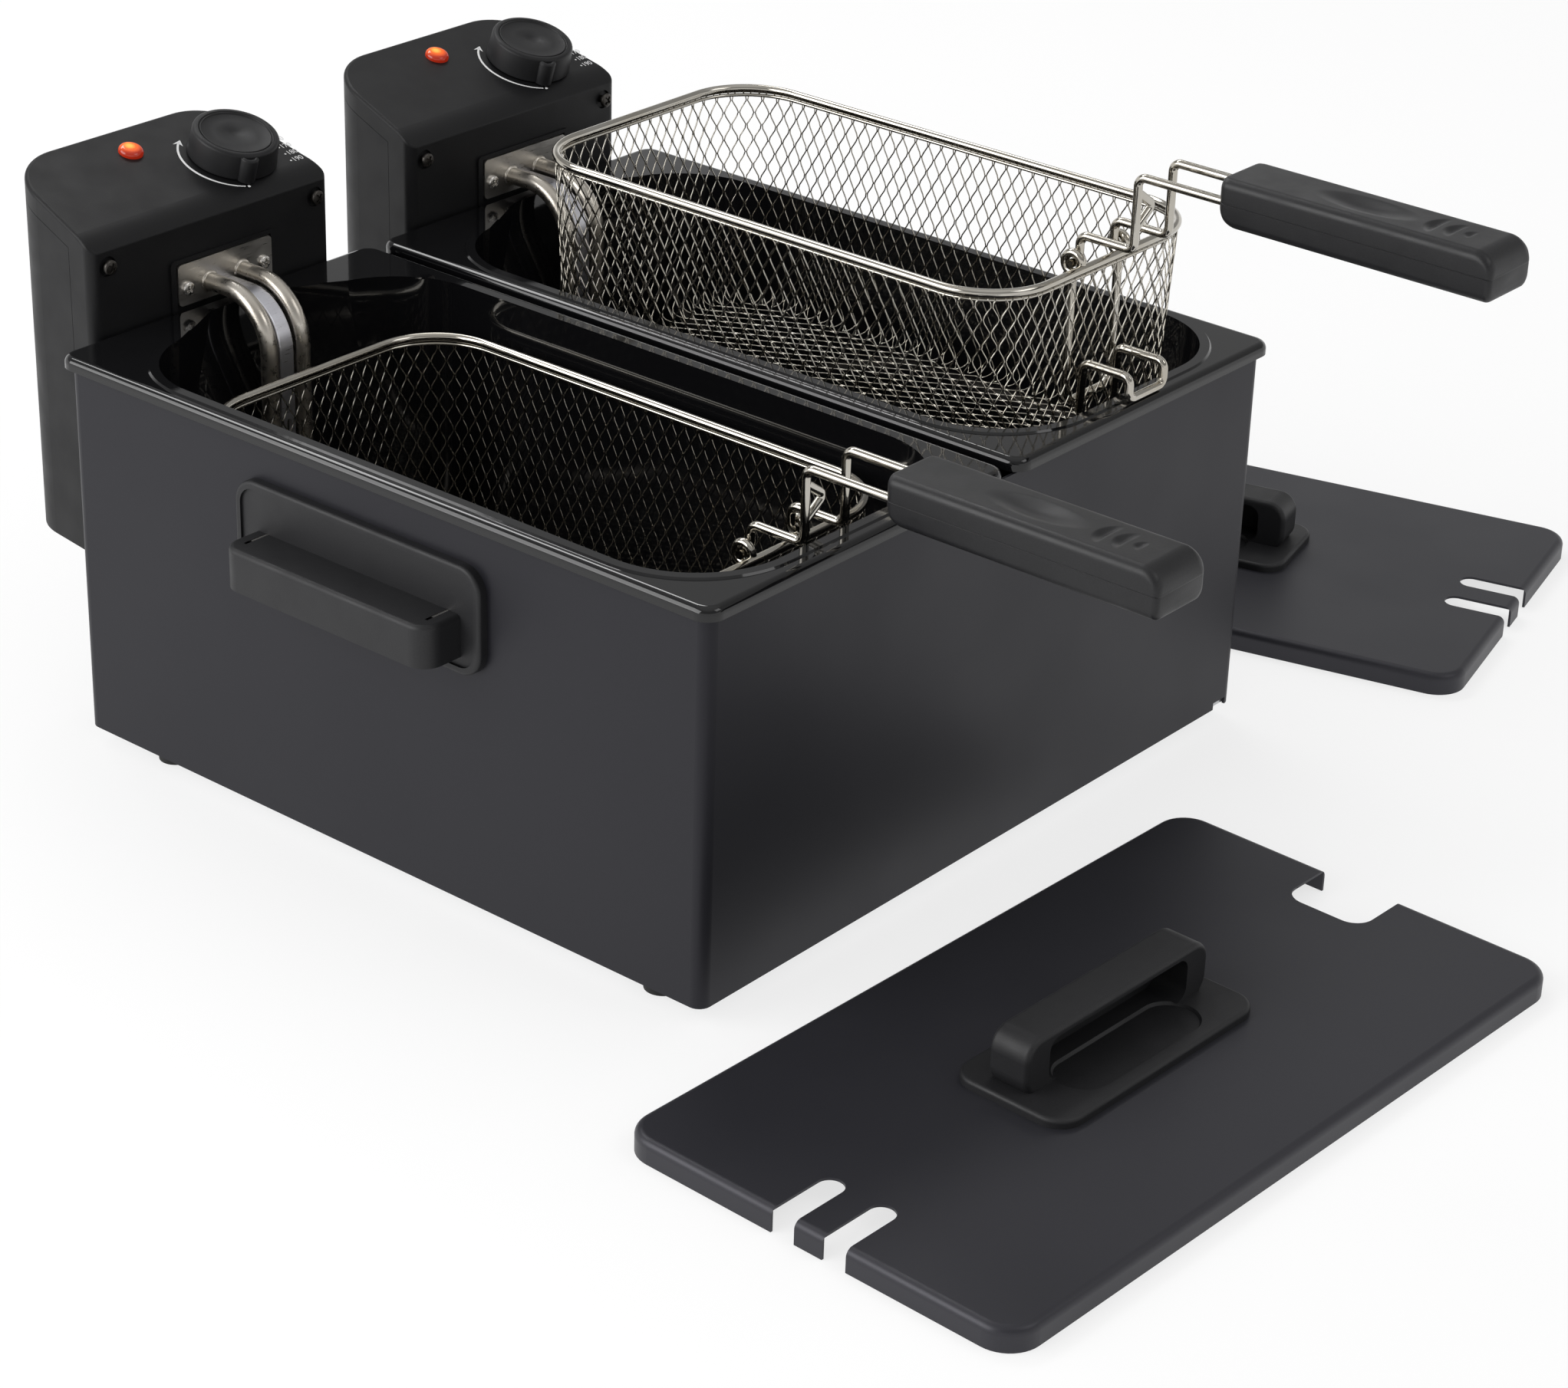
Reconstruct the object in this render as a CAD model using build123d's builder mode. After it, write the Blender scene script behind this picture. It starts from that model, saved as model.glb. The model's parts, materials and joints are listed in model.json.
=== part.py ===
"""A double deep fryer: one sheet casing that holds two enamelled pots, each with a control unit
that hangs behind it, a heating element, a wire basket with a folding handle, and a lid.

Millimetres. X runs to the right, Y to the back and Z up, from the middle of the label pad under
the base plate.
"""

import os
from math import atan, cos, degrees, radians, sin, tan

from build123d import *

# ---- driving sizes ----

# casing
CASING_WIDTH = 328
CASING_DEPTH = 320
CASING_CORNER = 5
SHEET = 1.2                     # casing, base plate and brackets
LABEL_PAD = 0.5                 # the pad for the rating label stands this far below the base plate
FOOT_HEIGHT = 7
FOOT_DIAMETER = 15

# pots
RIM_TOP = 157                   # above the base plate's underside
RIM_OVERHANG = 3                # rolled edge beyond the casing, all round
RIM_GAP = 6                     # between the two rims
RIM_SKIRT = 5                   # height of the rolled edge
RIM_ROLL = 3
RIM_CORNER = 7
SIDE_LAND = 8.5                 # flat of the rim beside the opening
FRONT_LAND = 10
BACK_LAND = 23
OPENING_CORNER = 40
POT_SHEET = 1.2
POT_FLOOR = 14                  # underside of the bowl
POT_DRAFT = 1.5                 # degrees
POT_BOTTOM_ROUND = 20
SPOUT_DEPTH = 14                # the opening reaches back this far for the tubes
SPOUT_TIP = 32
SPOUT_DRAFT = 16                # degrees

# control unit
UNIT_STANDOFF = 4               # between the casing's back and the unit
UNIT_DEPTH = 58
UNIT_SIDE_MARGIN = 19.5         # rim edge to the unit's front corner
UNIT_BOTTOM = 63
UNIT_SIDE_TAPER = 8             # degrees
UNIT_BACK_CORNER = 26
UNIT_FRONT_CORNER = 4
UNIT_LOWER_ROUND = 20
PANEL_FRONT = 193.5             # height of the panel's front edge
PANEL_SLOPE = 0.3
PANEL_ROUND = 1.5
WALL = 2.5                      # moulded covers
SEAM = 0.2                      # between the two covers
COVER_RETURN = 14.5             # how far the front cover reaches back along the sides
COVER_SKIRT = 8                 # its edge under the panel
COVER_FOOT = 9                  # from the unit's underside up to the front cover
KNOB_MARGIN = 30.5              # from the cover's side to the knob's centre
KNOB_ALONG = 24.6               # back from the panel's front edge, along the panel
KNOB_DIAMETER = 36
KNOB_HEIGHT = 12.5
KNOB_OFF_ANGLE = 23             # pointer to the left of straight ahead
LENS_X = -3.3
LENS_ALONG = 44.5
LENS_DIAMETER = 10

# heating element and its plate
TUBE_DIAMETER = 8.5
TUBE_SPACING = 17
TUBE_X = 4.1                    # middle of the two tubes
TUBE_LIFT = 8                   # tube centre above the rim
TUBE_WALL_GAP = 10              # tube centre in front of the opening's back edge
TUBE_BEND = 23
GUARD_THICKNESS = 1.6
BULB_DIAMETER = 4.4
PLATE_WIDTH = 49
PLATE_HEIGHT = 17
PLATE_THICKNESS = 1.5
PLATE_SCREW_SPACING = 40

# basket and its handle
WIRE_DIAMETER = 3.4
RIM_WIRE_DIAMETER = 3.5
BASKET_SIDE_CLEARANCE = 6.5
BASKET_BACK_CLEARANCE = 29      # lowered basket to the opening's back edge
BASKET_FRONT_CLEARANCE = 26
BASKET_HEIGHT = 92
BASKET_CORNER = 30
BASKET_DRAFT = 3                # degrees
MESH_THICKNESS = 1
LOWERED_DEPTH = 16              # rim of the lowered basket below the pot's rim
HANDLE_SPREAD = 22              # between the two handle wires
HANDLE_RISE = 40                # handle wires above the basket's rim
HANDLE_STANDOFF = 17.5          # their upright run in front of the rim
HOOK_REACH = 20
HOOK_ARM_DROP = 38
HOOK_BAR_DROP = 47
GRIP_START = 53                 # in front of the basket's rim
GRIP_LENGTH = 106
GRIP_WIDTH = 27.5
GRIP_HEIGHT = 18

# lids
LID_LENGTH = 310
LID_SPARE_WIDTH = 5             # wider than the rim
LID_FLANGE = 9
LID_SHEET = 1
LID_CORNER = 13
LID_HANDLE_LENGTH = 101
LID_HANDLE_WIDTH = 17
LID_HANDLE_RISE = 20
LID_PLATE_LENGTH = 112
LID_PLATE_WIDTH = 50
LID_PLATE_THICKNESS = 3.5
LID_STRAP = 3
LID_FRONT_GAP = 29.59           # between the fryer's front and the left lid on the worktop
LID_SIDE_GAP = 2.27             # between its right side and the right lid

# carrying handles
CARRY_PLATE_LENGTH = 124
CARRY_PLATE_HEIGHT = 42.5
CARRY_PLATE_THICKNESS = 3
CARRY_BAR_LENGTH = 104
CARRY_BAR_HEIGHT = 16.5
CARRY_BAR_REACH = 18
CARRY_Z = 116                   # middle of the plate
CARRY_Y = 4

# fits
REST_GAP = 0.3                  # between round parts of pieces that lift apart
RUN = 0.05                      # radial play of a turning or sliding stem
SLIP = 0.1                      # a screw or a tab in its hole

# ---- worked out from them ----

RIM_WIDTH = CASING_WIDTH / 2 + RIM_OVERHANG - RIM_GAP / 2
RIM_DEPTH = CASING_DEPTH + 2 * RIM_OVERHANG
UNIT_X = CASING_WIDTH / 2 + RIM_OVERHANG - RIM_WIDTH / 2
OPENING_WIDTH = RIM_WIDTH - 2 * SIDE_LAND
OPENING_DEPTH = RIM_DEPTH - FRONT_LAND - BACK_LAND
OPENING_Y = (FRONT_LAND - BACK_LAND) / 2
OPENING_FRONT = OPENING_Y - OPENING_DEPTH / 2
OPENING_BACK = OPENING_Y + OPENING_DEPTH / 2
CASING_HEIGHT = RIM_TOP - POT_SHEET
CASING_BACK = CASING_DEPTH / 2

UNIT_FRONT = CASING_BACK + UNIT_STANDOFF
UNIT_BACK = UNIT_FRONT + UNIT_DEPTH
UNIT_WIDTH = RIM_WIDTH - 2 * UNIT_SIDE_MARGIN
KNOB_X = UNIT_WIDTH / 2 - KNOB_MARGIN
PANEL_TILT = atan(PANEL_SLOPE)

TUBE_RADIUS = TUBE_DIAMETER / 2
TUBE_Z = RIM_TOP + TUBE_LIFT
TUBE_Y = OPENING_BACK - TUBE_WALL_GAP
PLATE_FACE = UNIT_FRONT - PLATE_THICKNESS
PLATE_Z = RIM_TOP + 1.2 + PLATE_HEIGHT / 2

WIRE = WIRE_DIAMETER / 2
RIM_WIRE = RIM_WIRE_DIAMETER / 2
BASKET_WIDTH = OPENING_WIDTH - 2 * BASKET_SIDE_CLEARANCE
BASKET_DEPTH = OPENING_DEPTH - BASKET_FRONT_CLEARANCE - BASKET_BACK_CLEARANCE
LOWERED_RIM = RIM_TOP - LOWERED_DEPTH
LOWERED_FRONT = OPENING_FRONT + BASKET_FRONT_CLEARANCE
DRAINING_RIM = RIM_TOP + REST_GAP + WIRE + HOOK_BAR_DROP
DRAINING_FRONT = OPENING_FRONT - FRONT_LAND / 2 - 2 + HOOK_REACH
LOOP_Z = LOWERED_RIM - BASKET_HEIGHT - REST_GAP - TUBE_RADIUS
LID_WIDTH = RIM_WIDTH + LID_SPARE_WIDTH

os.makedirs("parts", exist_ok=True)


# ---- helpers ----

def save(part, name):
    part.label = name
    export_step(part, f"parts/{name}.step")


def panel_plane(x, along, lift=0):
    """A plane on the sloping panel, facing out of it; along runs back from its front edge."""
    y = UNIT_FRONT + along * cos(PANEL_TILT) - lift * sin(PANEL_TILT)
    z = PANEL_FRONT + along * sin(PANEL_TILT) + lift * cos(PANEL_TILT)
    return Plane(origin=(x, y, z), x_dir=(1, 0, 0), z_dir=(0, -sin(PANEL_TILT), cos(PANEL_TILT)))


def bent_wire(points, bend, radius=WIRE):
    """A round wire along straight runs, with a rounded bend at every inner point."""
    with BuildPart() as wire:
        with BuildLine():
            FilletPolyline(*points, radius=bend)
        with BuildSketch(Plane(origin=points[0], z_dir=Vector(*points[1]) - Vector(*points[0]))):
            Circle(radius)
        sweep()
    return wire.part


def pan_screws(plane, spots, head, head_height, shank, length):
    """Cross-recessed screws: their heads stand on the plane and their shanks run down from it."""
    with BuildPart() as screws:
        with BuildSketch(plane):
            with Locations(*spots):
                Circle(head / 2)
        extrude(amount=head_height, taper=8)
        with BuildSketch(plane):
            with Locations(*spots):
                Circle(shank / 2)
        extrude(amount=-length)
        with BuildSketch(plane.offset(head_height)):
            with Locations(*spots):
                Rectangle(head * 0.55, head * 0.14)
                Rectangle(head * 0.14, head * 0.55)
        extrude(amount=-head_height * 0.6, mode=Mode.SUBTRACT)
    return screws.part


def spout(margin):
    """The part of a pot's opening that reaches back for the tubes, with a margin round it."""
    base, tip = OPENING_WIDTH / 2 - OPENING_CORNER / 2, SPOUT_TIP / 2
    shoulder = OPENING_BACK - OPENING_CORNER / 6
    with BuildSketch() as face:
        with BuildLine():
            Polyline((-base, shoulder - 10), (-base, shoulder), (TUBE_X - tip, OPENING_BACK + SPOUT_DEPTH),
                     (TUBE_X + tip, OPENING_BACK + SPOUT_DEPTH), (base, shoulder), (base, shoulder - 10),
                     close=True)
        make_face()
        fillet(face.vertices().group_by(Axis.Y)[-1], radius=8)
        if margin:
            offset(amount=margin)
    return face.sketch


# ---- casing ----

def casing_outline(inset):
    return RectangleRounded(CASING_WIDTH - 2 * inset, CASING_DEPTH - 2 * inset, CASING_CORNER - inset)


FOOT_SPOTS = [(x * (CASING_WIDTH / 2 - 13), y) for x in (-1, 1) for y in (29 - CASING_BACK, CASING_BACK - 36)]

with BuildPart() as casing:
    with BuildSketch():
        casing_outline(0)
    extrude(amount=CASING_HEIGHT)
    with BuildSketch():
        casing_outline(SHEET)
    extrude(amount=CASING_HEIGHT - SHEET, mode=Mode.SUBTRACT)
    with BuildSketch(Plane.XY.offset(CASING_HEIGHT)):
        with Locations((-UNIT_X, OPENING_Y), (UNIT_X, OPENING_Y)):
            RectangleRounded(OPENING_WIDTH + 6, OPENING_DEPTH + 6, OPENING_CORNER + 3)
        with Locations((-UNIT_X, 0), (UNIT_X, 0)):
            add(spout(POT_SHEET + 1.5))
    extrude(amount=-SHEET, mode=Mode.SUBTRACT)
    # room for the rims' edges between the pots
    with BuildSketch(Plane.XY.offset(CASING_HEIGHT)):
        Rectangle(2 * UNIT_X - OPENING_WIDTH - 6, CASING_DEPTH)
    extrude(amount=POT_SHEET - RIM_SKIRT - 0.6, mode=Mode.SUBTRACT)
    with BuildSketch(Plane.YZ.offset(-CASING_WIDTH / 2)):
        with Locations(*[(CARRY_Y + spot, CARRY_Z) for spot in (-46, 46)]):
            Circle(2 + SLIP)
    extrude(amount=CASING_WIDTH, mode=Mode.SUBTRACT)
    with BuildSketch(Plane.XZ.offset(CASING_BACK)):
        with Locations((CASING_WIDTH / 2 - CASING_CORNER - 4, 1.5)):
            Rectangle(8, 3)
    extrude(amount=-SHEET, mode=Mode.SUBTRACT)

with BuildPart() as base_plate:
    with BuildSketch():
        casing_outline(SHEET + SLIP)
    extrude(amount=12)
    with BuildSketch(Plane.XY.offset(LABEL_PAD + SHEET)):
        casing_outline(2 * SHEET + SLIP)
    extrude(amount=12, mode=Mode.SUBTRACT)
    with BuildSketch():
        casing_outline(SHEET + SLIP)
        RectangleRounded(70, 45, 4, mode=Mode.SUBTRACT)
    extrude(amount=LABEL_PAD, mode=Mode.SUBTRACT)
    with BuildSketch():
        with Locations(*FOOT_SPOTS):
            Circle(2 + SLIP)
        with GridLocations(2 * UNIT_X, 0, 2, 1):
            with GridLocations(14, 0, 6, 1):
                SlotOverall(40, 4, rotation=90)
    extrude(amount=LABEL_PAD + SHEET, mode=Mode.SUBTRACT)

with BuildPart() as feet:
    with BuildSketch(Plane.XY.offset(LABEL_PAD)):
        with Locations(*FOOT_SPOTS):
            Circle(FOOT_DIAMETER / 2)
    extrude(amount=-LABEL_PAD - FOOT_HEIGHT, taper=4)
    with BuildSketch(Plane.XY.offset(LABEL_PAD)):
        with Locations(*FOOT_SPOTS):
            Circle(2 + SLIP)
    extrude(amount=-LABEL_PAD - FOOT_HEIGHT, mode=Mode.SUBTRACT)
    with BuildSketch(Plane.XY.offset(-FOOT_HEIGHT)):
        with Locations(*FOOT_SPOTS):
            Circle(4.5)
    extrude(amount=4, mode=Mode.SUBTRACT)

foot_screws = pan_screws(Plane(origin=(0, 0, 4 - FOOT_HEIGHT), x_dir=(1, 0, 0), z_dir=(0, 0, -1)),
                         [(x, -y) for x, y in FOOT_SPOTS], 8, 2.2, 4, 10)

with BuildPart() as hanger_channels:
    with BuildSketch(Plane.XY.offset(95)):
        with Locations((-UNIT_X, CASING_BACK), (UNIT_X, CASING_BACK)):
            Rectangle(44, 3, align=(Align.CENTER, Align.MIN))
    extrude(amount=40)
    with BuildSketch(Plane.XY.offset(95 + SHEET)):
        with Locations((-UNIT_X, CASING_BACK + 0.8), (UNIT_X, CASING_BACK + 0.8)):
            Rectangle(41, 1.4, align=(Align.CENTER, Align.MIN))
            Rectangle(32, 3, align=(Align.CENTER, Align.MIN))
    extrude(amount=40, mode=Mode.SUBTRACT)


def make_carry_handle():
    """The left handle: a plate with a raised edge, and a bar that is hollow from below."""
    bar_top = CARRY_Z + 2
    plate_face = CASING_WIDTH / 2 + CARRY_PLATE_THICKNESS
    middle = (-plate_face - CARRY_BAR_REACH / 2 + 1, CARRY_Y)
    with BuildPart() as handle:
        with BuildSketch(Plane(origin=(-CASING_WIDTH / 2, CARRY_Y, CARRY_Z), x_dir=(0, 1, 0), z_dir=(-1, 0, 0))) as foot:
            RectangleRounded(CARRY_PLATE_LENGTH, CARRY_PLATE_HEIGHT, 10)
        extrude(amount=CARRY_PLATE_THICKNESS + 1)
        fillet(handle.faces().sort_by(Axis.X)[0].edges(), radius=1.5)
        with BuildSketch(Plane(origin=(-plate_face, CARRY_Y, CARRY_Z), x_dir=(0, 1, 0), z_dir=(-1, 0, 0))):
            RectangleRounded(CARRY_PLATE_LENGTH - 6, CARRY_PLATE_HEIGHT - 6, 7)
        extrude(amount=2, mode=Mode.SUBTRACT)
        with BuildSketch(Plane.XY.offset(bar_top - CARRY_BAR_HEIGHT)) as bar:
            with Locations(middle):
                Rectangle(CARRY_BAR_REACH + 2, CARRY_BAR_LENGTH)
            fillet(bar.vertices().group_by(Axis.X)[0], radius=8)
        extrude(amount=CARRY_BAR_HEIGHT)
        fillet(handle.faces().sort_by(Axis.X)[0].edges().sort_by(Axis.Z)[-1:], radius=2)
        with BuildSketch(Plane.XY.offset(bar_top - CARRY_BAR_HEIGHT)) as hollow:
            with Locations((middle[0] + 0.5, CARRY_Y)):
                Rectangle(CARRY_BAR_REACH - 6, CARRY_BAR_LENGTH - 24)
            fillet(hollow.vertices().group_by(Axis.X)[0], radius=4.5)
        extrude(amount=CARRY_BAR_HEIGHT - 3.5, mode=Mode.SUBTRACT)
        with BuildSketch(Plane.YZ.offset(-CASING_WIDTH / 2)):
            with Locations((CARRY_Y - 46, CARRY_Z), (CARRY_Y + 46, CARRY_Z)):
                Circle(2 + SLIP)
        extrude(amount=-14, mode=Mode.SUBTRACT)
    return handle.part


carry_handle_left = make_carry_handle()
carry_handle_right = mirror(carry_handle_left, about=Plane.YZ)

carry_handle_screws = Part() + [
    pan_screws(Plane(origin=(side * (CASING_WIDTH / 2 - SHEET), CARRY_Y, CARRY_Z), x_dir=(0, 1, 0),
                     z_dir=(-side, 0, 0)), [(-46, 0), (46, 0)], 8, 2.2, 4, 12)
    for side in (-1, 1)
]


# ---- pot ----

def bowl(inset):
    """The bowl's outside, or with an inset its inside, as a solid from the rim's top down."""
    with BuildPart() as solid:
        with BuildSketch(Plane.XY.offset(RIM_TOP)):
            with Locations((0, OPENING_Y)):
                RectangleRounded(OPENING_WIDTH + 2 * POT_SHEET - 2 * inset,
                                 OPENING_DEPTH + 2 * POT_SHEET - 2 * inset,
                                 OPENING_CORNER + POT_SHEET - inset)
        extrude(amount=POT_FLOOR + inset - RIM_TOP, taper=POT_DRAFT)
        fillet(solid.faces().sort_by(Axis.Z)[0].edges(), radius=POT_BOTTOM_ROUND - inset)
    # the spout's back slopes down into the bowl's wall
    margin = POT_SHEET - inset
    reach = SPOUT_DEPTH + 6
    with BuildPart() as bulge:
        with BuildSketch(Plane.XY.offset(RIM_TOP)):
            add(spout(margin))
        extrude(amount=-reach / tan(radians(SPOUT_DRAFT)))
        with BuildSketch(Plane.YZ):
            with BuildLine():
                Polyline((OPENING_BACK + SPOUT_DEPTH + margin, RIM_TOP), (0, RIM_TOP), (0, 0),
                         (OPENING_BACK + SPOUT_DEPTH + margin - RIM_TOP * tan(radians(SPOUT_DRAFT)), 0),
                         close=True)
            make_face()
        extrude(amount=OPENING_WIDTH, both=True, mode=Mode.INTERSECT)
    return solid.part + bulge.part


def make_pot():
    with BuildPart() as pot:
        with BuildSketch(Plane.XY.offset(RIM_TOP - RIM_SKIRT)):
            RectangleRounded(RIM_WIDTH, RIM_DEPTH, RIM_CORNER)
        extrude(amount=RIM_SKIRT)
        fillet(pot.faces().sort_by(Axis.Z)[-1].edges(), radius=RIM_ROLL)
        with BuildSketch(Plane.XY.offset(RIM_TOP - RIM_SKIRT)):
            RectangleRounded(RIM_WIDTH - 2 * POT_SHEET, RIM_DEPTH - 2 * POT_SHEET, RIM_CORNER - POT_SHEET)
        extrude(amount=RIM_SKIRT - POT_SHEET, mode=Mode.SUBTRACT)
        with BuildSketch(Plane.XY.offset(RIM_TOP)):
            with Locations((0, OPENING_Y)):
                RectangleRounded(OPENING_WIDTH + 9, OPENING_DEPTH + 9, OPENING_CORNER + 4.5)
        extrude(amount=0.7, taper=45)
        add(bowl(0))
        add(bowl(POT_SHEET), mode=Mode.SUBTRACT)
        with BuildSketch(Plane.XY.offset(RIM_TOP)):
            with Locations((0, OPENING_Y)):
                RectangleRounded(OPENING_WIDTH, OPENING_DEPTH, OPENING_CORNER)
            add(spout(0))
        extrude(amount=2, mode=Mode.SUBTRACT)
        # notch that the unit's hanger tongue passes through
        with BuildSketch(Plane.XY.offset(RIM_TOP - RIM_SKIRT)):
            with Locations((0, RIM_DEPTH / 2)):
                Rectangle(46, 2 * (RIM_OVERHANG - 0.6))
        extrude(amount=RIM_SKIRT, mode=Mode.SUBTRACT)
    return pot.part


# ---- control unit ----

def housing(inset):
    """The control unit's whole outer form, or with an inset the space inside its walls."""
    half_back = UNIT_WIDTH / 2 - UNIT_DEPTH * tan(radians(UNIT_SIDE_TAPER))
    panel_drop = inset / cos(PANEL_TILT)
    top_front = PANEL_FRONT - panel_drop
    with BuildPart() as form:
        with BuildSketch() as plan:
            with BuildLine():
                Polyline((-UNIT_WIDTH / 2, UNIT_FRONT), (UNIT_WIDTH / 2, UNIT_FRONT),
                         (half_back, UNIT_BACK), (-half_back, UNIT_BACK), close=True)
            make_face()
            fillet(plan.vertices().group_by(Axis.Y)[-1], radius=UNIT_BACK_CORNER)
            fillet(plan.vertices().group_by(Axis.Y)[0], radius=UNIT_FRONT_CORNER)
            if inset:
                offset(amount=-inset)
        extrude(amount=PANEL_FRONT + UNIT_DEPTH)
        with BuildSketch(Plane.YZ) as side:
            with BuildLine():
                Polyline((UNIT_FRONT - 5, UNIT_BOTTOM + inset), (UNIT_BACK - inset, UNIT_BOTTOM + inset),
                         (UNIT_BACK - inset, top_front + PANEL_SLOPE * (UNIT_DEPTH - inset)),
                         (UNIT_FRONT - 5, top_front - 5 * PANEL_SLOPE), close=True)
            make_face()
            fillet(side.vertices().sort_by_distance((0, UNIT_BACK, UNIT_BOTTOM))[0], radius=UNIT_LOWER_ROUND - inset)
        extrude(amount=UNIT_WIDTH, both=True, mode=Mode.INTERSECT)
        if PANEL_ROUND > inset:
            fillet(form.faces().sort_by(Axis.Z)[-1].edges(), radius=PANEL_ROUND - inset)
    return form.part


def cover_zone(gap):
    """The space that the front cover fills: its front, its side returns and its skirted top."""
    skirt = COVER_SKIRT / cos(PANEL_TILT) - gap
    turn = COVER_RETURN - gap
    with BuildPart() as zone:
        with BuildSketch(Plane.YZ):
            with BuildLine():
                Polyline((UNIT_FRONT - 1, UNIT_BOTTOM + COVER_FOOT + gap),
                         (UNIT_FRONT + turn, UNIT_BOTTOM + COVER_FOOT + gap),
                         (UNIT_FRONT + turn, PANEL_FRONT + PANEL_SLOPE * turn - skirt),
                         (UNIT_BACK + 1, PANEL_FRONT + PANEL_SLOPE * (UNIT_DEPTH + 1) - skirt),
                         (UNIT_BACK + 1, PANEL_FRONT + UNIT_DEPTH),
                         (UNIT_FRONT - 1, PANEL_FRONT + UNIT_DEPTH), close=True)
            make_face()
        extrude(amount=UNIT_WIDTH, both=True)
    return zone.part


COVER_SCREW_X = UNIT_WIDTH / 2 - 8.5
COVER_SCREW_Z = PANEL_FRONT - 9.5
outer_form = housing(0)
inner_form = housing(WALL)


def make_panel_cover():
    with BuildPart() as cover:
        add(outer_form)
        add(cover_zone(0), mode=Mode.INTERSECT)
        add(inner_form, mode=Mode.SUBTRACT)
        # raised border round the element plate, open at the bottom
        with BuildSketch(Plane.XZ.offset(-UNIT_FRONT)) as border:
            with Locations((TUBE_X, PLATE_Z - 0.5)):
                Rectangle(PLATE_WIDTH + 6, PLATE_HEIGHT + 5)
            fillet(border.vertices(), radius=2)
            with Locations((TUBE_X, PLATE_Z - 3)):
                Rectangle(PLATE_WIDTH + 0.6, PLATE_HEIGHT + 6.6, mode=Mode.SUBTRACT)
        extrude(amount=0.9)
        # window for the tubes, screw holes, and holes for the knob's stem and the lens
        with BuildSketch(Plane.XZ.offset(-UNIT_FRONT)):
            with Locations((TUBE_X, PLATE_Z)):
                Rectangle(PLATE_SCREW_SPACING - 8, PLATE_HEIGHT - 3)
            with Locations(*plate_screw_spots()):
                Circle(1.5 + SLIP)
            with Locations(*cover_screw_spots()):
                Circle(1.5 + SLIP)
        extrude(amount=-WALL, mode=Mode.SUBTRACT)
        with BuildSketch(Plane.XZ.offset(-UNIT_FRONT)):
            with Locations(*cover_screw_spots()):
                Circle(4)
        extrude(amount=-1.2, mode=Mode.SUBTRACT)
        with BuildSketch(panel_plane(KNOB_X, KNOB_ALONG)):
            Circle(5.2)
        extrude(amount=-2 * WALL, mode=Mode.SUBTRACT)
        with BuildSketch(panel_plane(LENS_X, LENS_ALONG)):
            Circle(LENS_DIAMETER / 2 - 1)
        extrude(amount=-2 * WALL, mode=Mode.SUBTRACT)
    return cover.part


def plate_screw_spots():
    return [(TUBE_X + side * PLATE_SCREW_SPACING / 2, TUBE_Z) for side in (-1, 1)]


def cover_screw_spots():
    return [(side * COVER_SCREW_X, COVER_SCREW_Z) for side in (-1, 1)]


BUTTON_X = -UNIT_WIDTH / 5
BUTTON_Z = UNIT_BOTTOM + 47
GLAND_X = UNIT_WIDTH / 5
GLAND_Z = UNIT_BOTTOM + 40


def make_rear_cover():
    with BuildPart() as cover:
        add(outer_form)
        add(cover_zone(-SEAM), mode=Mode.SUBTRACT)
        add(inner_form, mode=Mode.SUBTRACT)
        # bosses for the two front screws, joined to the side walls
        with BuildSketch(Plane.XZ.offset(-UNIT_FRONT - WALL)):
            with Locations(*cover_screw_spots()):
                Circle(3.7)
        extrude(amount=-30)
        add(outer_form, mode=Mode.INTERSECT)
        with BuildSketch(Plane.XZ.offset(-UNIT_FRONT)):
            with Locations(*cover_screw_spots()):
                Circle(1.5 + SLIP)
        extrude(amount=-22, mode=Mode.SUBTRACT)
        # a collar round the reset button, and its hole and the cord gland's
        with BuildSketch(Plane.XZ.offset(-UNIT_BACK)):
            with Locations((BUTTON_X, BUTTON_Z)):
                Circle(8)
        extrude(amount=WALL + 5)
        with BuildSketch(Plane.XZ.offset(-UNIT_BACK)):
            with Locations((BUTTON_X, BUTTON_Z)):
                Circle(5 + RUN)
            with Locations((GLAND_X, GLAND_Z)):
                Circle(7 + SLIP)
        extrude(amount=WALL + 5, mode=Mode.SUBTRACT)
        # cooling slots in the underside
        with BuildSketch(Plane.XY.offset(UNIT_BOTTOM)):
            with Locations((0, UNIT_FRONT + 25)):
                with GridLocations(9, 0, 7, 1):
                    SlotOverall(20, 3, rotation=90)
        extrude(amount=WALL, mode=Mode.SUBTRACT)
    return cover.part


def tube_route():
    """One bent tube: in over the rim, down into the pot, round the floor and back the same way."""
    left, right = TUBE_X - TUBE_SPACING / 2, TUBE_X + TUBE_SPACING / 2
    reach = OPENING_WIDTH / 2 - 20
    front = LOWERED_FRONT + 30
    back = TUBE_Y - 26
    return [(left, UNIT_FRONT + 6, TUBE_Z), (left, TUBE_Y, TUBE_Z), (left, TUBE_Y, LOOP_Z),
            (-reach, back, LOOP_Z), (-reach, front, LOOP_Z), (reach, front, LOOP_Z),
            (reach, back, LOOP_Z), (right, TUBE_Y, LOOP_Z), (right, TUBE_Y, TUBE_Z),
            (right, UNIT_FRONT + 6, TUBE_Z)]


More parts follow.
